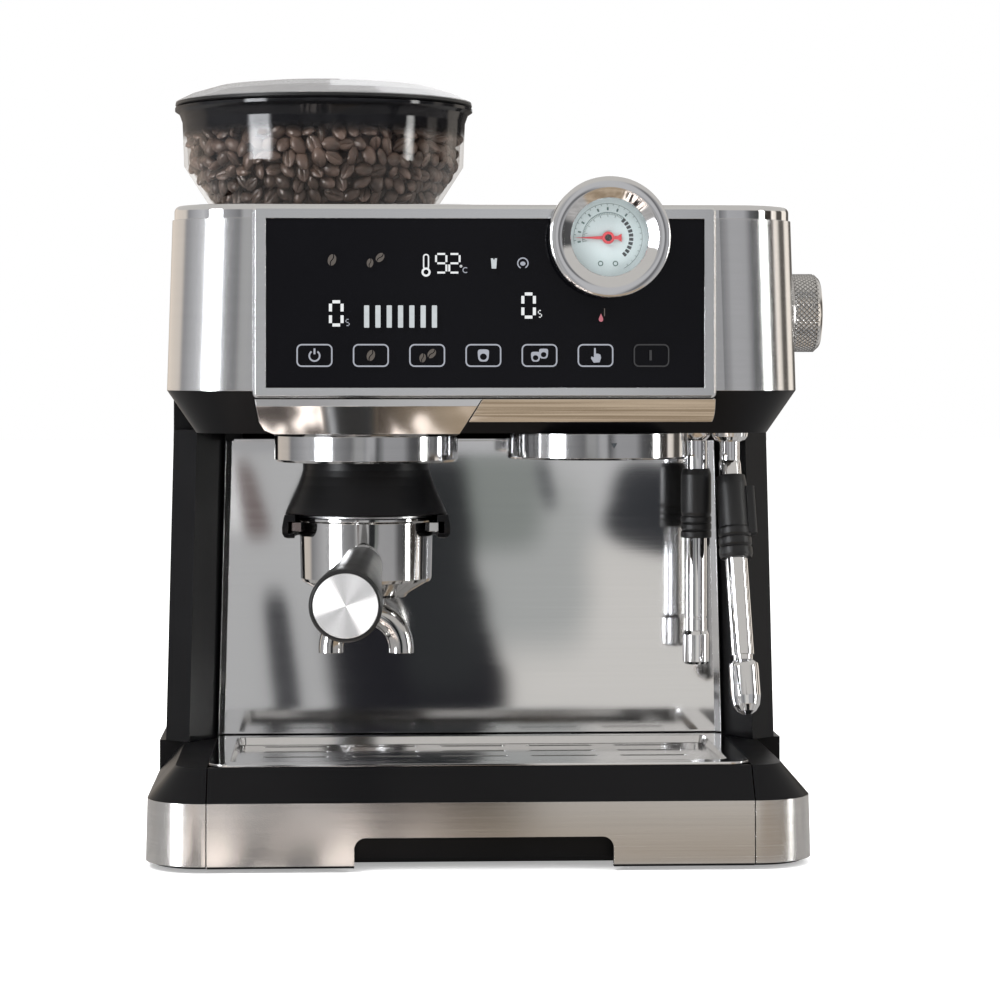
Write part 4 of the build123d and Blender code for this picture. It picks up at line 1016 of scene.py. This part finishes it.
@dataclass(frozen=True)
class Hopper:
    """Smoky hopper full of roasted beans.

    Attributes:
        x: place of the hopper's axis, in millimetres like the rest.
        y: place of the axis from front to back.
        seed: start of the random numbers.
        low: height of the lowest beans' centres.
        high: height of the highest beans' centres.
        top: height of the upper layer in the middle, before the beans are pushed apart.
        gap: distance to which the beans are pushed.
        rounds: how often they are pushed.
        slit_out: share of the beans with the slit side out.
    """

    x: float = -76.6
    y: float = 10.0
    seed: int = 11
    low: float = 329.0
    high: float = 367.5
    top: float = 364.4
    gap: float = 7.0
    rounds: int = 40
    slit_out: float = 0.42

    # Distance from the wall and step round it of the layers behind the wall
    LAYERS = ((3.6, 7.9), (9.6, 8.6))
    # Height and inner radius of the bowl
    WALL = ((325.4, 57.2), (331.2, 61.0), (347.8, 71.6), (370.0, 72.6))
    # Radius and height of the heap behind the single beans
    CORE = ((1, 312), (30, 312), (30, 327), (50, 329), (60, 346), (60.5, 357), (40, 360), (1, 361))

    def shape(self) -> tuple[np.ndarray, np.ndarray, np.ndarray]:
        """Bean surface, long axis x, round back up and flat slit side down.

        x = a cos v, y = b sin v cos u, z = c(u) sin v sin u, with the lower
        half pressed flat and a slit of depth d exp(-(y/w)^2) along it.

        Returns:
            Vertices in millimetres, quads, and the triangles at both ends.
        """
        u = np.radians([-90, -79, -64, -35, 0, 40, 90, 140, 180, 215, 244, 259])
        v = np.radians([12, 38, 64, 90, 116, 142, 168])
        uu, vv = np.meshgrid(u, v)
        x = 5.1 * np.cos(vv)
        y = 3.7 * np.sin(vv) * np.cos(uu)
        z = np.where(np.sin(uu) > 0, 2.9, 1.5) * np.sin(vv) * np.sin(uu)
        slit = 0.95 * np.exp(-((y / 0.5) ** 2)) * (np.sin(uu) < -0.3) * np.sin(vv)
        body = np.stack([x, y, z + slit], -1).reshape(-1, 3)
        ends = np.array([[5.15, 0, 0.2], [-5.15, 0, 0.2]])
        k = np.arange(len(u))
        after, row = (k + 1) % len(u), len(body) - len(u)
        first = np.stack([after, k, np.full(len(u), len(body))], -1)
        last = np.stack([row + k, row + after, np.full(len(u), len(body) + 1)], -1)
        tips = np.stack([first, last], 1).reshape(-1, 3)
        return np.concatenate([body, ends]), grid_faces(len(v), len(u), True)[:, ::-1], tips

    def wall(self, z: np.ndarray) -> np.ndarray:
        """Inner radius of the bowl at a height, in millimetres."""
        return np.interp(z, *np.transpose(self.WALL))

    def scatter(self, rng: np.random.Generator) -> np.ndarray:
        """Bean centres: layers at the wall and on top, pushed apart.

        Args:
            rng: random source.

        Returns:
            Centres in millimetres about the hopper axis.
        """
        rows = []
        for inset, step in self.LAYERS:
            for level in np.arange(329.5, 363, 6.3):
                r = float(self.wall(level)) - inset
                n = int(2 * np.pi * r / step)
                t = np.arange(n) * 2 * np.pi / n + rng.uniform(0, 6.28) + rng.normal(0, 0.02, n)
                z = level + rng.normal(0, 0.9, n)
                rows.append(np.stack([r * np.cos(t), r * np.sin(t), z], -1))
        for r in np.arange(2, 60, 8.0):
            for drop in (0.0, 5.5):
                n = max(3, int(2 * np.pi * r / 8.6))
                t = np.arange(n) * 2 * np.pi / n + rng.uniform(0, 6.28)
                z = self.top - drop + 2.2 * np.cos(r / 40) + rng.normal(0, 0.8, n)
                rows.append(np.stack([r * np.cos(t), r * np.sin(t), z], -1))
        spots = np.concatenate(rows)
        for _ in range(self.rounds):
            gap = spots[:, None] - spots[None]
            far = np.sqrt((gap**2).sum(-1)) + np.eye(len(spots)) * 99
            push = np.clip(self.gap - far, 0, None) / far * 0.25
            spots = spots + (gap * push[..., None]).sum(1)
            radius = np.hypot(spots[:, 0], spots[:, 1])
            spots[:, 2] = np.clip(spots[:, 2], self.low, self.high)
            limit = self.wall(spots[:, 2]) - 3.5
            spots[:, :2] *= np.minimum(1.0, limit / np.maximum(radius, 1e-6))[:, None]
        return spots

    def turns(self, spots: np.ndarray, rng: np.random.Generator) -> np.ndarray:
        """Turns of the beans: flat along the wall or the top, some with the slit side out.

        Args:
            spots: bean centres about the hopper axis.
            rng: random source.

        Returns:
            A matrix for each bean.
        """
        n = len(spots)
        out = spots * [1.0, 1.0, 0.0]
        out /= np.maximum(np.linalg.norm(out, axis=1), 1e-6)[:, None]
        up = np.clip((spots[:, 2] - 358) / 6, 0, 1)[:, None]
        normal = out * (1 - up) + np.array([0, 0, 1.0]) * up + rng.normal(0, 0.42, (n, 3))
        normal *= np.where(rng.random(n) < self.slit_out, -1, 1)[:, None]
        normal /= np.linalg.norm(normal, axis=1)[:, None]
        long = np.cross(rng.normal(0, 1, (n, 3)), normal)
        long /= np.linalg.norm(long, axis=1)[:, None]
        return np.stack([long, np.cross(normal, long), normal], -1)

    def fill(self) -> None:
        """Adds the beans and the heap behind them."""
        rng = np.random.default_rng(self.seed)
        shape, quads, tips = self.shape()
        spots = self.scatter(rng)
        turns = self.turns(spots, rng)
        n = len(spots)
        size = rng.uniform(0.88, 1.1, n)[:, None, None]
        cloud = np.einsum("nij,kj->nki", turns, shape) * size + spots[:, None]
        cloud += np.array([self.x, self.y, 0])
        start = np.arange(n)[:, None, None] * len(shape)
        faces = [*(quads + start).reshape(-1, 4), *(tips + start).reshape(-1, 3)]
        pile = piece("coffee_beans", cloud.reshape(-1, 3) * MM, faces, BEANS, "hopper", "beans", 60.0)
        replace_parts(pile, "bean_fill")
        radius, height = np.array(self.CORE, float).T[:, :, None]
        core = turned(2, (self.x, self.y), height, radius, 48)
        piece("bean_core", *core, BEANS, "hopper", "beans")
        LOG.info("%d beans", n)

    def build(self) -> None:
        """Dresses the bowl and the grinder under it, and fills the bowl."""
        dress(SMOKY, "hopper_bowl")
        dress(SMOKY_LID, "hopper_lid")
        dress(RUBBER, "lid_seal")
        dress(INNER, "outer_burr", "inner_burr")
        dress(CAST, "burr_chamber")
        dress(MOTOR, "grinder_motor")
        dress(BLACK, "grinder_chute")
        self.fill()


@dataclass(frozen=True)
class Knob:
    """Steam knob with a diamond knurl between two smooth ends.

    Attributes:
        y: place of the knob's axis, in millimetres like the rest.
        z: height of the axis.
        back: inner end of the knob.
        end: outer end of the knob.
        radius: radius over the knurl.
        depth: depth of the knurl.
        count: points round the knob.
    """

    y: float = -60.0
    z: float = 269.0
    back: float = 160.7
    end: float = 176.0
    radius: float = 20.0
    depth: float = 0.8
    count: int = 396

    # Place from the inner end, and radius
    INNER_END = ((0.0, 4.0), (0.0, 17.5), (1.2, 18.6), (1.3, 19.3))
    # Place from the outer end, and radius
    OUTER_END = (
        (-3.2, 19.5), (-2.8, 19.95), (-0.4, 17.7), (0.0, 17.0), (0.0, 15.8), (-0.6, 15.1), (-0.6, 0.01),
    )

    def build(self) -> None:
        """Builds the knurled knob.

        The knurl lowers the radius by 2 d min(|u - 1/2|, |v - 1/2|) with u and
        v the fractions of (R t + x) / p and (R t - x) / p.
        """
        pitch = 2 * np.pi * self.radius / KNURL.count
        t = np.linspace(0, 2 * np.pi, self.count, endpoint=False)
        x = np.linspace(self.back + 1.8, self.end - 3.4, 32)
        tt, xx = np.meshgrid(t, x)
        u = np.mod((self.radius * tt + xx) / pitch, 1.0)
        v = np.mod((self.radius * tt - xx) / pitch, 1.0)
        knurl = self.radius - 2 * self.depth * np.minimum(np.abs(u - 0.5), np.abs(v - 0.5))
        inner = np.array(self.INNER_END) + [self.back, 0.0]
        outer = np.array(self.OUTER_END) + [self.end, 0.0]
        flat = np.ones(self.count)
        along = np.concatenate([inner[:, :1] * flat, xx, outer[:, :1] * flat])
        radius = np.concatenate([inner[:, 1:] * flat, knurl, outer[:, 1:] * flat])
        points, faces = turned(0, (self.y, self.z), along, radius, self.count)
        knob = piece("knurled_knob", points, faces[:, ::-1], KNURL, "steam_knob", "chrome", 25.0)
        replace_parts(knob, "steam_knob")
        dress(BRASS, "steam_valve")


@dataclass(frozen=True)
class Housing:
    """Case, base, head and the splash panel."""

    # Radius of the side plug and its height over the base
    PLUG = ((2.4, 0.0), (2.2, 0.9), (1.4, 1.4), (0.01, 1.5))

    def build(self) -> None:
        """Dresses the housing and adds the plug on its left side."""
        dress(BLACK, "base_shell", "tower_shell", "head_skirt", "rear_wall", "drip_tray", "dosing_cradle")
        dress(BRUSHED, "base_band", "tray_band")
        dress(WRAP, "head_wrap")
        dress(MIRROR, "splash_panel")
        dress(GRID, "drip_grid")
        dress(CHROME, "top_cover")
        dress(PRESSED, "grinder_apron")
        dress(COLLAR, "grinder_collar", "group_collar")
        dress(RUBBER, "rubber_feet", "cord_gland")
        dress(INNER, "bottom_cover", "case_screws")
        dress(CAST, "boiler")
        dress(MOTOR, "water_pump")
        dress(BOARD, "control_board")
        dress(HOSE, "water_hoses")
        radius, height = np.array(self.PLUG).T[:, :, None]
        plug = turned(0, (-40.0, 24.0), -161.3 - height, radius, 20)
        piece("side_plug", *plug, RUBBER, "chassis", "black_body")


@dataclass(frozen=True)
class WaterTank:
    """Smoky tank at the back with raised level marks.

    Attributes:
        x: right end of the marks, in millimetres like the rest.
        lowest: height of the lowest mark.
        highest: height of the highest mark.
        steps: number of marks.
        short: width of a mark.
        long: width of the lowest and the highest mark.
        tall: height of a mark's bar.
        proud: how far a mark stands out of the tank.
    """

    x: float = 84.0
    lowest: float = 84.0
    highest: float = 240.0
    steps: int = 7
    short: float = 9.0
    long: float = 16.0
    tall: float = 1.4
    proud: float = 0.35

    def build(self) -> None:
        """Dresses the tank and adds a bar at each level, y = y0 - 0.25 (2 v - 1)^2 down its height v."""
        dress(TANK, "water_tank")
        dress(LID_BLACK, "tank_lid")
        back = float(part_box("water_tank")[1][1]) / MM + self.proud
        u, v = np.meshgrid(np.linspace(0, 1, 5), np.linspace(0, 1, 3))
        points, faces, count = [], [], 0
        for k, z in enumerate(np.linspace(self.lowest, self.highest, self.steps)):
            w = self.long if k in (0, self.steps - 1) else self.short
            down = z + self.tall / 2 - self.tall * v
            front = np.stack([self.x - w * u, back - 0.25 * (2 * v - 1) ** 2, down], -1)
            bar, quads = slab(front * MM, (0, -0.6 * MM, 0))
            points.append(bar)
            faces += [np.asarray(q) + count for q in quads]
            count += len(bar)
        piece("level_marks", np.concatenate(points), faces, MARK, "water_tank", "tank_clear")


@dataclass(frozen=True)
class BrewGroup:
    """Group head, portafilter and the apron over the bay.

    Attributes:
        top: height of the apron's upper edge, in millimetres like the rest.
        drop: height of the apron.
    """

    top: float = 226.0
    drop: float = 11.2

    ARROW = ((-1.5, 1.2), (1.5, 1.2), (0, -1.3))

    def apron(self) -> None:
        """Polished apron over the group: y = y0 + 3.4 v + 1.6 v^3 down its height v."""
        v = np.linspace(0, 1, 14)[:, None]
        u = np.linspace(0, 1, 30)[None]
        left, right = 1.2 - 6.6 * v, 114.6 - 1.2 * v**4
        lip = float(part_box("brew_apron")[0][1]) / MM
        depth = lip + 0.4 + 3.4 * v + 1.6 * v**3
        across, down = left + (right - left) * u, self.top - self.drop * v
        front = np.stack(np.broadcast_arrays(across, depth, down), -1)
        points, faces = slab(front * MM, (0, 1.4 * MM, 0))
        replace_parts(piece("apron_face", points, faces, PRESSED, "chassis", "chrome", 30.0), "brew_apron")

    def build(self) -> None:
        """Dresses the group and prints the arrow on its collar."""
        dress(CAST, "group_head")
        dress(RUBBER, "group_gasket")
        dress(INNER, "shower_screen", "filter_basket")
        dress(BODY, "portafilter_body", "portafilter_spout")
        dress(HANDLE, "portafilter_handle")
        self.apron()
        low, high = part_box("handle_cap")
        centre = tuple((low + high) / 2)
        # the cap's base colour carries a painted highlight in two opposite fans
        dress(SpunDisc("spun_cap", (0.74, 0.74, 0.75), 0.2, relief=0.00001, centre=centre), "handle_cap")
        mark = Ink().fill(np.array(self.ARROW) + [65.6, 203.2])
        mark.make("lock_mark", -130.75, INK, "chassis", "collar_steel")


@dataclass(frozen=True)
class Wands:
    """Steam wand and hot-water wand."""

    def build(self) -> None:
        """Dresses the wands."""
        dress(CHROME, "steam_tube", "steam_nozzle", "steam_flange", "water_tube", "water_nozzle")
        dress(RUBBER, "steam_grip", "water_grip")


@dataclass(frozen=True)
class Studio:
    """White sweep, soft lights, cards for the reflections, and the camera.

    Attributes:
        focal_px: focal length, in pixels.
        frame_px: side of the picture, in pixels.
        room_radius: distance of the room's wall, in metres like the rest.
        room_height: height of the wall.
        floor_half: half the side of the floor.
        floor_y: place of the floor's middle from front to back.
        floor_z: height of the floor, just under the feet.
        card_path: way from the eye over the splash panel to the card that it mirrors.
    """

    focal_px: float = 3187.0
    frame_px: float = 1000.0
    room_radius: float = 2.6
    room_height: float = 1.7
    floor_half: float = 6.0
    floor_y: float = 2.0
    floor_z: float = -0.0003
    card_path: float = 2.011

    HAZE = (0.62, 0.6, 0.57)
    MIDDLE = (0, 0, 0.2)
    # What the splash panel mirrors: centre and half sizes in pixels, turn, softness, colour
    PATCHES = (
        (600, 660, 150, 120, -8, 0.14, (0.72, 0.7, 0.67)),
        (528, 560, 62, 90, 0, 0.3, (0.46, 0.47, 0.46)),
        (492, 490, 50, 62, 0, 0.3, (0.27, 0.29, 0.275)),
        (410, 655, 86, 108, 14, 0.12, (0.016, 0.016, 0.02)),
        (436, 560, 40, 130, 4, 0.22, (0.03, 0.032, 0.034)),
        (672, 512, 66, 46, -13, 0.14, (0.035, 0.037, 0.042)),
        (545, 482, 8, 26, 12, 0.4, (0.12, 0.125, 0.13)),
        (255, 600, 70, 190, 0, 0.2, (0.52, 0.52, 0.52)),
        (283, 668, 13, 78, 7, 0.2, (0.04, 0.04, 0.045)),
        (250, 500, 13, 40, 16, 0.3, (0.16, 0.12, 0.115)),
        (232, 490, 7, 40, 8, 0.4, (0.95, 0.95, 0.95)),
    )
    # Tones of the room by angle from the front, in degrees
    ROOM = (
        (-180, (0.3, 0.27, 0.24)), (-151, (0.85, 0.75, 0.65)), (-112, (0.75, 0.68, 0.61)),
        (-104, (0.3, 0.3, 0.31)), (-74, (0.6, 0.6, 0.61)), (-64, (0.42, 0.42, 0.43)),
        (-61, (20.0, 20.4, 21.0)), (-46, (20.0, 20.4, 21.0)), (-43, (0.42, 0.42, 0.43)),
        (-20, (0.22, 0.22, 0.225)), (-14, (0.46, 0.46, 0.46)), (-6, (0.46, 0.46, 0.46)),
        (-3, (0.38, 0.38, 0.39)), (1, (0.56, 0.56, 0.57)), (8, (0.56, 0.56, 0.57)),
        (12, (0.12, 0.12, 0.125)), (21, (0.46, 0.46, 0.47)), (44, (0.44, 0.44, 0.45)),
        (54, (0.14, 0.14, 0.145)), (69, (0.06, 0.06, 0.06)), (71, (14.0, 14.0, 13.6)),
        (76, (14.0, 14.0, 13.6)), (78, (0.05, 0.045, 0.04)), (92, (0.06, 0.05, 0.045)),
        (94, (1.3, 1.2, 1.1)), (103, (1.0, 0.92, 0.82)), (106, (0.1, 0.09, 0.08)),
        (119, (0.1, 0.09, 0.08)), (122, (1.2, 1.1, 0.98)), (138, (1.0, 0.92, 0.82)),
        (142, (0.06, 0.055, 0.05)), (180, (0.3, 0.27, 0.24)),
    )

    def camera(self) -> None:
        """Level camera turned to the machine, its lens shifted down as in the front view."""
        data = bpy.data.cameras.new("camera")
        data.sensor_width = 36.0
        data.lens = data.sensor_width * self.focal_px / self.frame_px
        data.shift_y = AXIS_PX[1] / self.frame_px - 0.5
        data.clip_start, data.clip_end = 0.05, 50.0
        seen = bpy.data.objects.new("camera", data)
        seen.location = EYE
        turn = math.atan((self.frame_px / 2 - AXIS_PX[0]) / self.focal_px)
        seen.rotation_euler = (math.radians(90), 0, -turn)
        bpy.context.scene.collection.objects.link(seen)
        bpy.context.scene.camera = seen

    def lamp(self, name: str, at: Sequence[float], size: Sequence[float], watts: float) -> None:
        """Adds a soft rectangular lamp that shines on the middle of the machine.

        Args:
            name: object name.
            at: place of the lamp.
            size: width and height of the lamp.
            watts: power of the lamp.
        """
        data = bpy.data.lights.new(name, "AREA")
        data.shape = "RECTANGLE"
        data.size, data.size_y = size
        data.energy = watts
        lamp = bpy.data.objects.new(name, data)
        lamp.location = at
        aim = np.subtract(self.MIDDLE, at)
        lamp.rotation_euler = Vector(aim).to_track_quat("-Z", "Y").to_euler()
        lamp.visible_glossy = False
        bpy.context.scene.collection.objects.link(lamp)

    def panel_card(self) -> None:
        """Adds a card in front of the bay that only the splash panel mirrors.

        Each patch is a soft superellipse (a^4 + b^4)^(1/4) = 1 given by its
        place in the front view. Its place on the card is
        eye + (pixel - axis) * path / focal length.
        """
        g = Graph("bay_card")
        x, _, z = g.xyz()
        streak = g.noise(g.place((1.5, 1.0, 30.0)), 1.0, 2.0)
        shade = rgba((0.6, 0.6, 0.6))
        scale = self.card_path / self.focal_px
        for px, py, rx, ry, turn, soft, colour in self.PATCHES:
            u = x - (EYE[0] + (px - AXIS_PX[0]) * scale)
            v = z - (EYE[2] - (py - AXIS_PX[1]) * scale)
            c, t = math.cos(math.radians(turn)), math.sin(math.radians(turn))
            a = ((u * c + v * t) * (1 / scale / rx)).call("ABSOLUTE")
            b = ((v * c - u * t) * (1 / scale / ry)).call("ABSOLUTE")
            far = (a ** 4.0 + b ** 4.0) ** 0.25 + (streak - 0.5) * 0.2
            shade = g.blend(rgba(colour), shade, far.smooth(1 - soft, 1 + soft))
        slant = g.node("ShaderNodeLayerWeight", {"Blend": 0.5}, out="Facing").smooth(0.04, 0.08)
        clear = g.node("ShaderNodeBsdfTransparent")
        shader = g.mix(slant, g.glow(shade), clear)
        self.card("bay_card", (-0.19, 0.205), -0.365, (0.0, 0.186), g.close(shader))

    def card(
        self, name: str, x: Sequence[float], y: float, z: Sequence[float], material: bpy.types.Material
    ) -> None:
        """Adds an upright rectangle that only reflections see."""
        points = [(x[0], y, z[0]), (x[1], y, z[0]), (x[1], y, z[1]), (x[0], y, z[1])]
        self.hide(self.stand(name, points, [(0, 1, 2, 3)], material))

    def stand(
        self,
        name: str,
        points: Sequence[Sequence[float]],
        faces: Sequence[Sequence[int]],
        material: bpy.types.Material,
    ) -> bpy.types.Object:
        """Adds a mesh of the stage.

        Args:
            name: object name.
            points: vertices in metres.
            faces: vertex numbers of each face.
            material: material of the mesh.

        Returns:
            The new object.
        """
        mesh = bpy.data.meshes.new(name)
        mesh.from_pydata(points, [], faces)
        mesh.materials.append(material)
        made = bpy.data.objects.new(name, mesh)
        bpy.context.scene.collection.objects.link(made)
        return made

    def hide(self, made: bpy.types.Object) -> None:
        """Leaves an object to be seen by reflections only."""
        made.visible_camera = False
        made.visible_diffuse = False
        made.visible_shadow = False
        made.visible_transmission = False

    def tones(self, g: Graph) -> Sock:
        """Tone of the room by angle from the front, to the right.

        Args:
            g: graph of the material that shows it.

        Returns:
            The colour.
        """
        x, y, _ = g.xyz()
        around = x.call("ARCTAN2", y * -1.0) / (2 * math.pi) + 0.5
        drift = g.noise(g.place((0.8, 0.8, 1.4)), 1.0, 2.0)
        ramp = g.node("ShaderNodeValToRGB", (around + (drift - 0.5) * 0.012,))
        stops = ramp.socket.node.color_ramp
        stops.elements[0].color = rgba(self.ROOM[0][1])
        stops.elements[1].color = rgba(self.ROOM[-1][1])
        for angle, colour in self.ROOM[1:-1]:
            stops.elements.new(angle / 360 + 0.5).color = rgba(colour)
        return ramp

    def surround(self) -> None:
        """Adds the room that the metals mirror, and a bright window high behind the machine."""
        radius, height = self.room_radius, self.room_height
        g = Graph("room")
        fade = g.blend(rgba(self.HAZE), self.tones(g), g.xyz()[2].smooth(height * 0.62, height * 0.42))
        t = np.linspace(0, 2 * np.pi, 96, endpoint=False)
        ring = np.stack([radius * np.sin(t), -radius * np.cos(t), 0 * t], -1)
        wall = np.concatenate([ring, ring + [0, 0, height]])
        self.hide(self.stand("room", wall, grid_faces(2, len(t), True).tolist(), g.close(g.glow(fade))))
        g = Graph("window")
        cloud = g.noise(g.place(), 1.5, 2.0)
        pane = g.blend(rgba((1.5, 1.5, 1.5)), rgba((1.9, 1.9, 1.9)), cloud)
        self.card("window", (-0.07, 0.5), 1.6, (0.5, 1.9), g.close(g.glow(pane)))

    def world(self) -> None:
        """White to the camera, soft grey in reflections."""
        g = Graph("studio", world=True)
        glossy = g.node("ShaderNodeLightPath", out="Is Glossy Ray")
        plain, mirrored = (g.node("ShaderNodeBackground", (rgba(c), 1.0)) for c in ((1, 1, 1), self.HAZE))
        bpy.context.scene.world = g.close(g.mix(glossy, plain, mirrored))

    def floor(self) -> None:
        """Pale floor with a soft contact shadow that metals mirror as a wooden counter."""
        g = Graph("floor")
        grain = g.noise(g.place(), 60.0, 3.0)
        paper = g.skin(
            {
                "Base Color": g.blend((0.9, 0.9, 0.9, 1), (0.94, 0.94, 0.94, 1), grain),
                "Roughness": 0.9,
                "Emission Color": (1, 1, 1, 1),
                "Emission Strength": 0.35,
            }
        )
        x, y, _ = g.xyz()
        fibre = g.noise(g.place((5.0, 46.0, 1.0)), 1.0, 4.0, 0.62).smooth(0.36, 0.66)
        wood = g.blend(rgba((0.3, 0.225, 0.15)), rgba((0.62, 0.5, 0.37)), fibre)
        clutter = g.noise(g.place((44.0, 20.0, 1.0), (0.4, 0.7, 0.0)), 1.0, 2.0, 0.5).smooth(0.48, 0.56)
        items = g.blend(rgba((0.045, 0.036, 0.033)), rgba((2.6, 2.3, 2.1)), clutter)
        near = x.smooth(-0.32, -0.24) * x.smooth(0.36, 0.28) * y.smooth(-0.16, -0.2) * y.smooth(-0.9, -0.7)
        plain = g.blend(rgba((0.4, 0.39, 0.38)), rgba((0.6, 0.585, 0.57)), fibre)
        plain = g.blend(plain, self.tones(g), ((x * x + y * y) ** 0.5).smooth(0.8, 1.5))
        front = g.blend(items, wood, x.smooth(-0.06, 0.02))
        counter = g.glow(g.blend(plain, front, near))
        glossy = g.node("ShaderNodeLightPath", out="Is Glossy Ray")
        half, corners = self.floor_half, ((-1, -1), (1, -1), (1, 1), (-1, 1))
        points = [(half * sx, self.floor_y + half * sy, self.floor_z) for sx, sy in corners]
        self.stand("floor", points, [(0, 1, 2, 3)], g.close(g.mix(glossy, paper, counter)))

    def build(self) -> None:
        """Sets the whole studio."""
        self.camera()
        self.world()
        self.floor()
        self.lamp("key", (-0.9, -1.1, 1.5), (0.8, 0.8), 26)
        self.lamp("fill", (1.3, -0.9, 0.9), (0.5, 1.2), 12)
        self.lamp("top", (0.0, 0.1, 1.6), (1.4, 1.0), 16)
        self.panel_card()
        self.surround()
        bpy.context.scene.view_settings.view_transform = "Standard"


def main() -> None:
    """Builds every sub-assembly and the studio."""
    logging.basicConfig(level=logging.INFO)
    parts = (
        Housing(), WaterTank(), ControlPanel(), Gauge(), Hopper(), Knob(), BrewGroup(), Wands(), Studio(),
    )
    for part in parts:
        part.build()
        LOG.info("%s done", type(part).__name__)


if __name__ == "__main__":
    main()
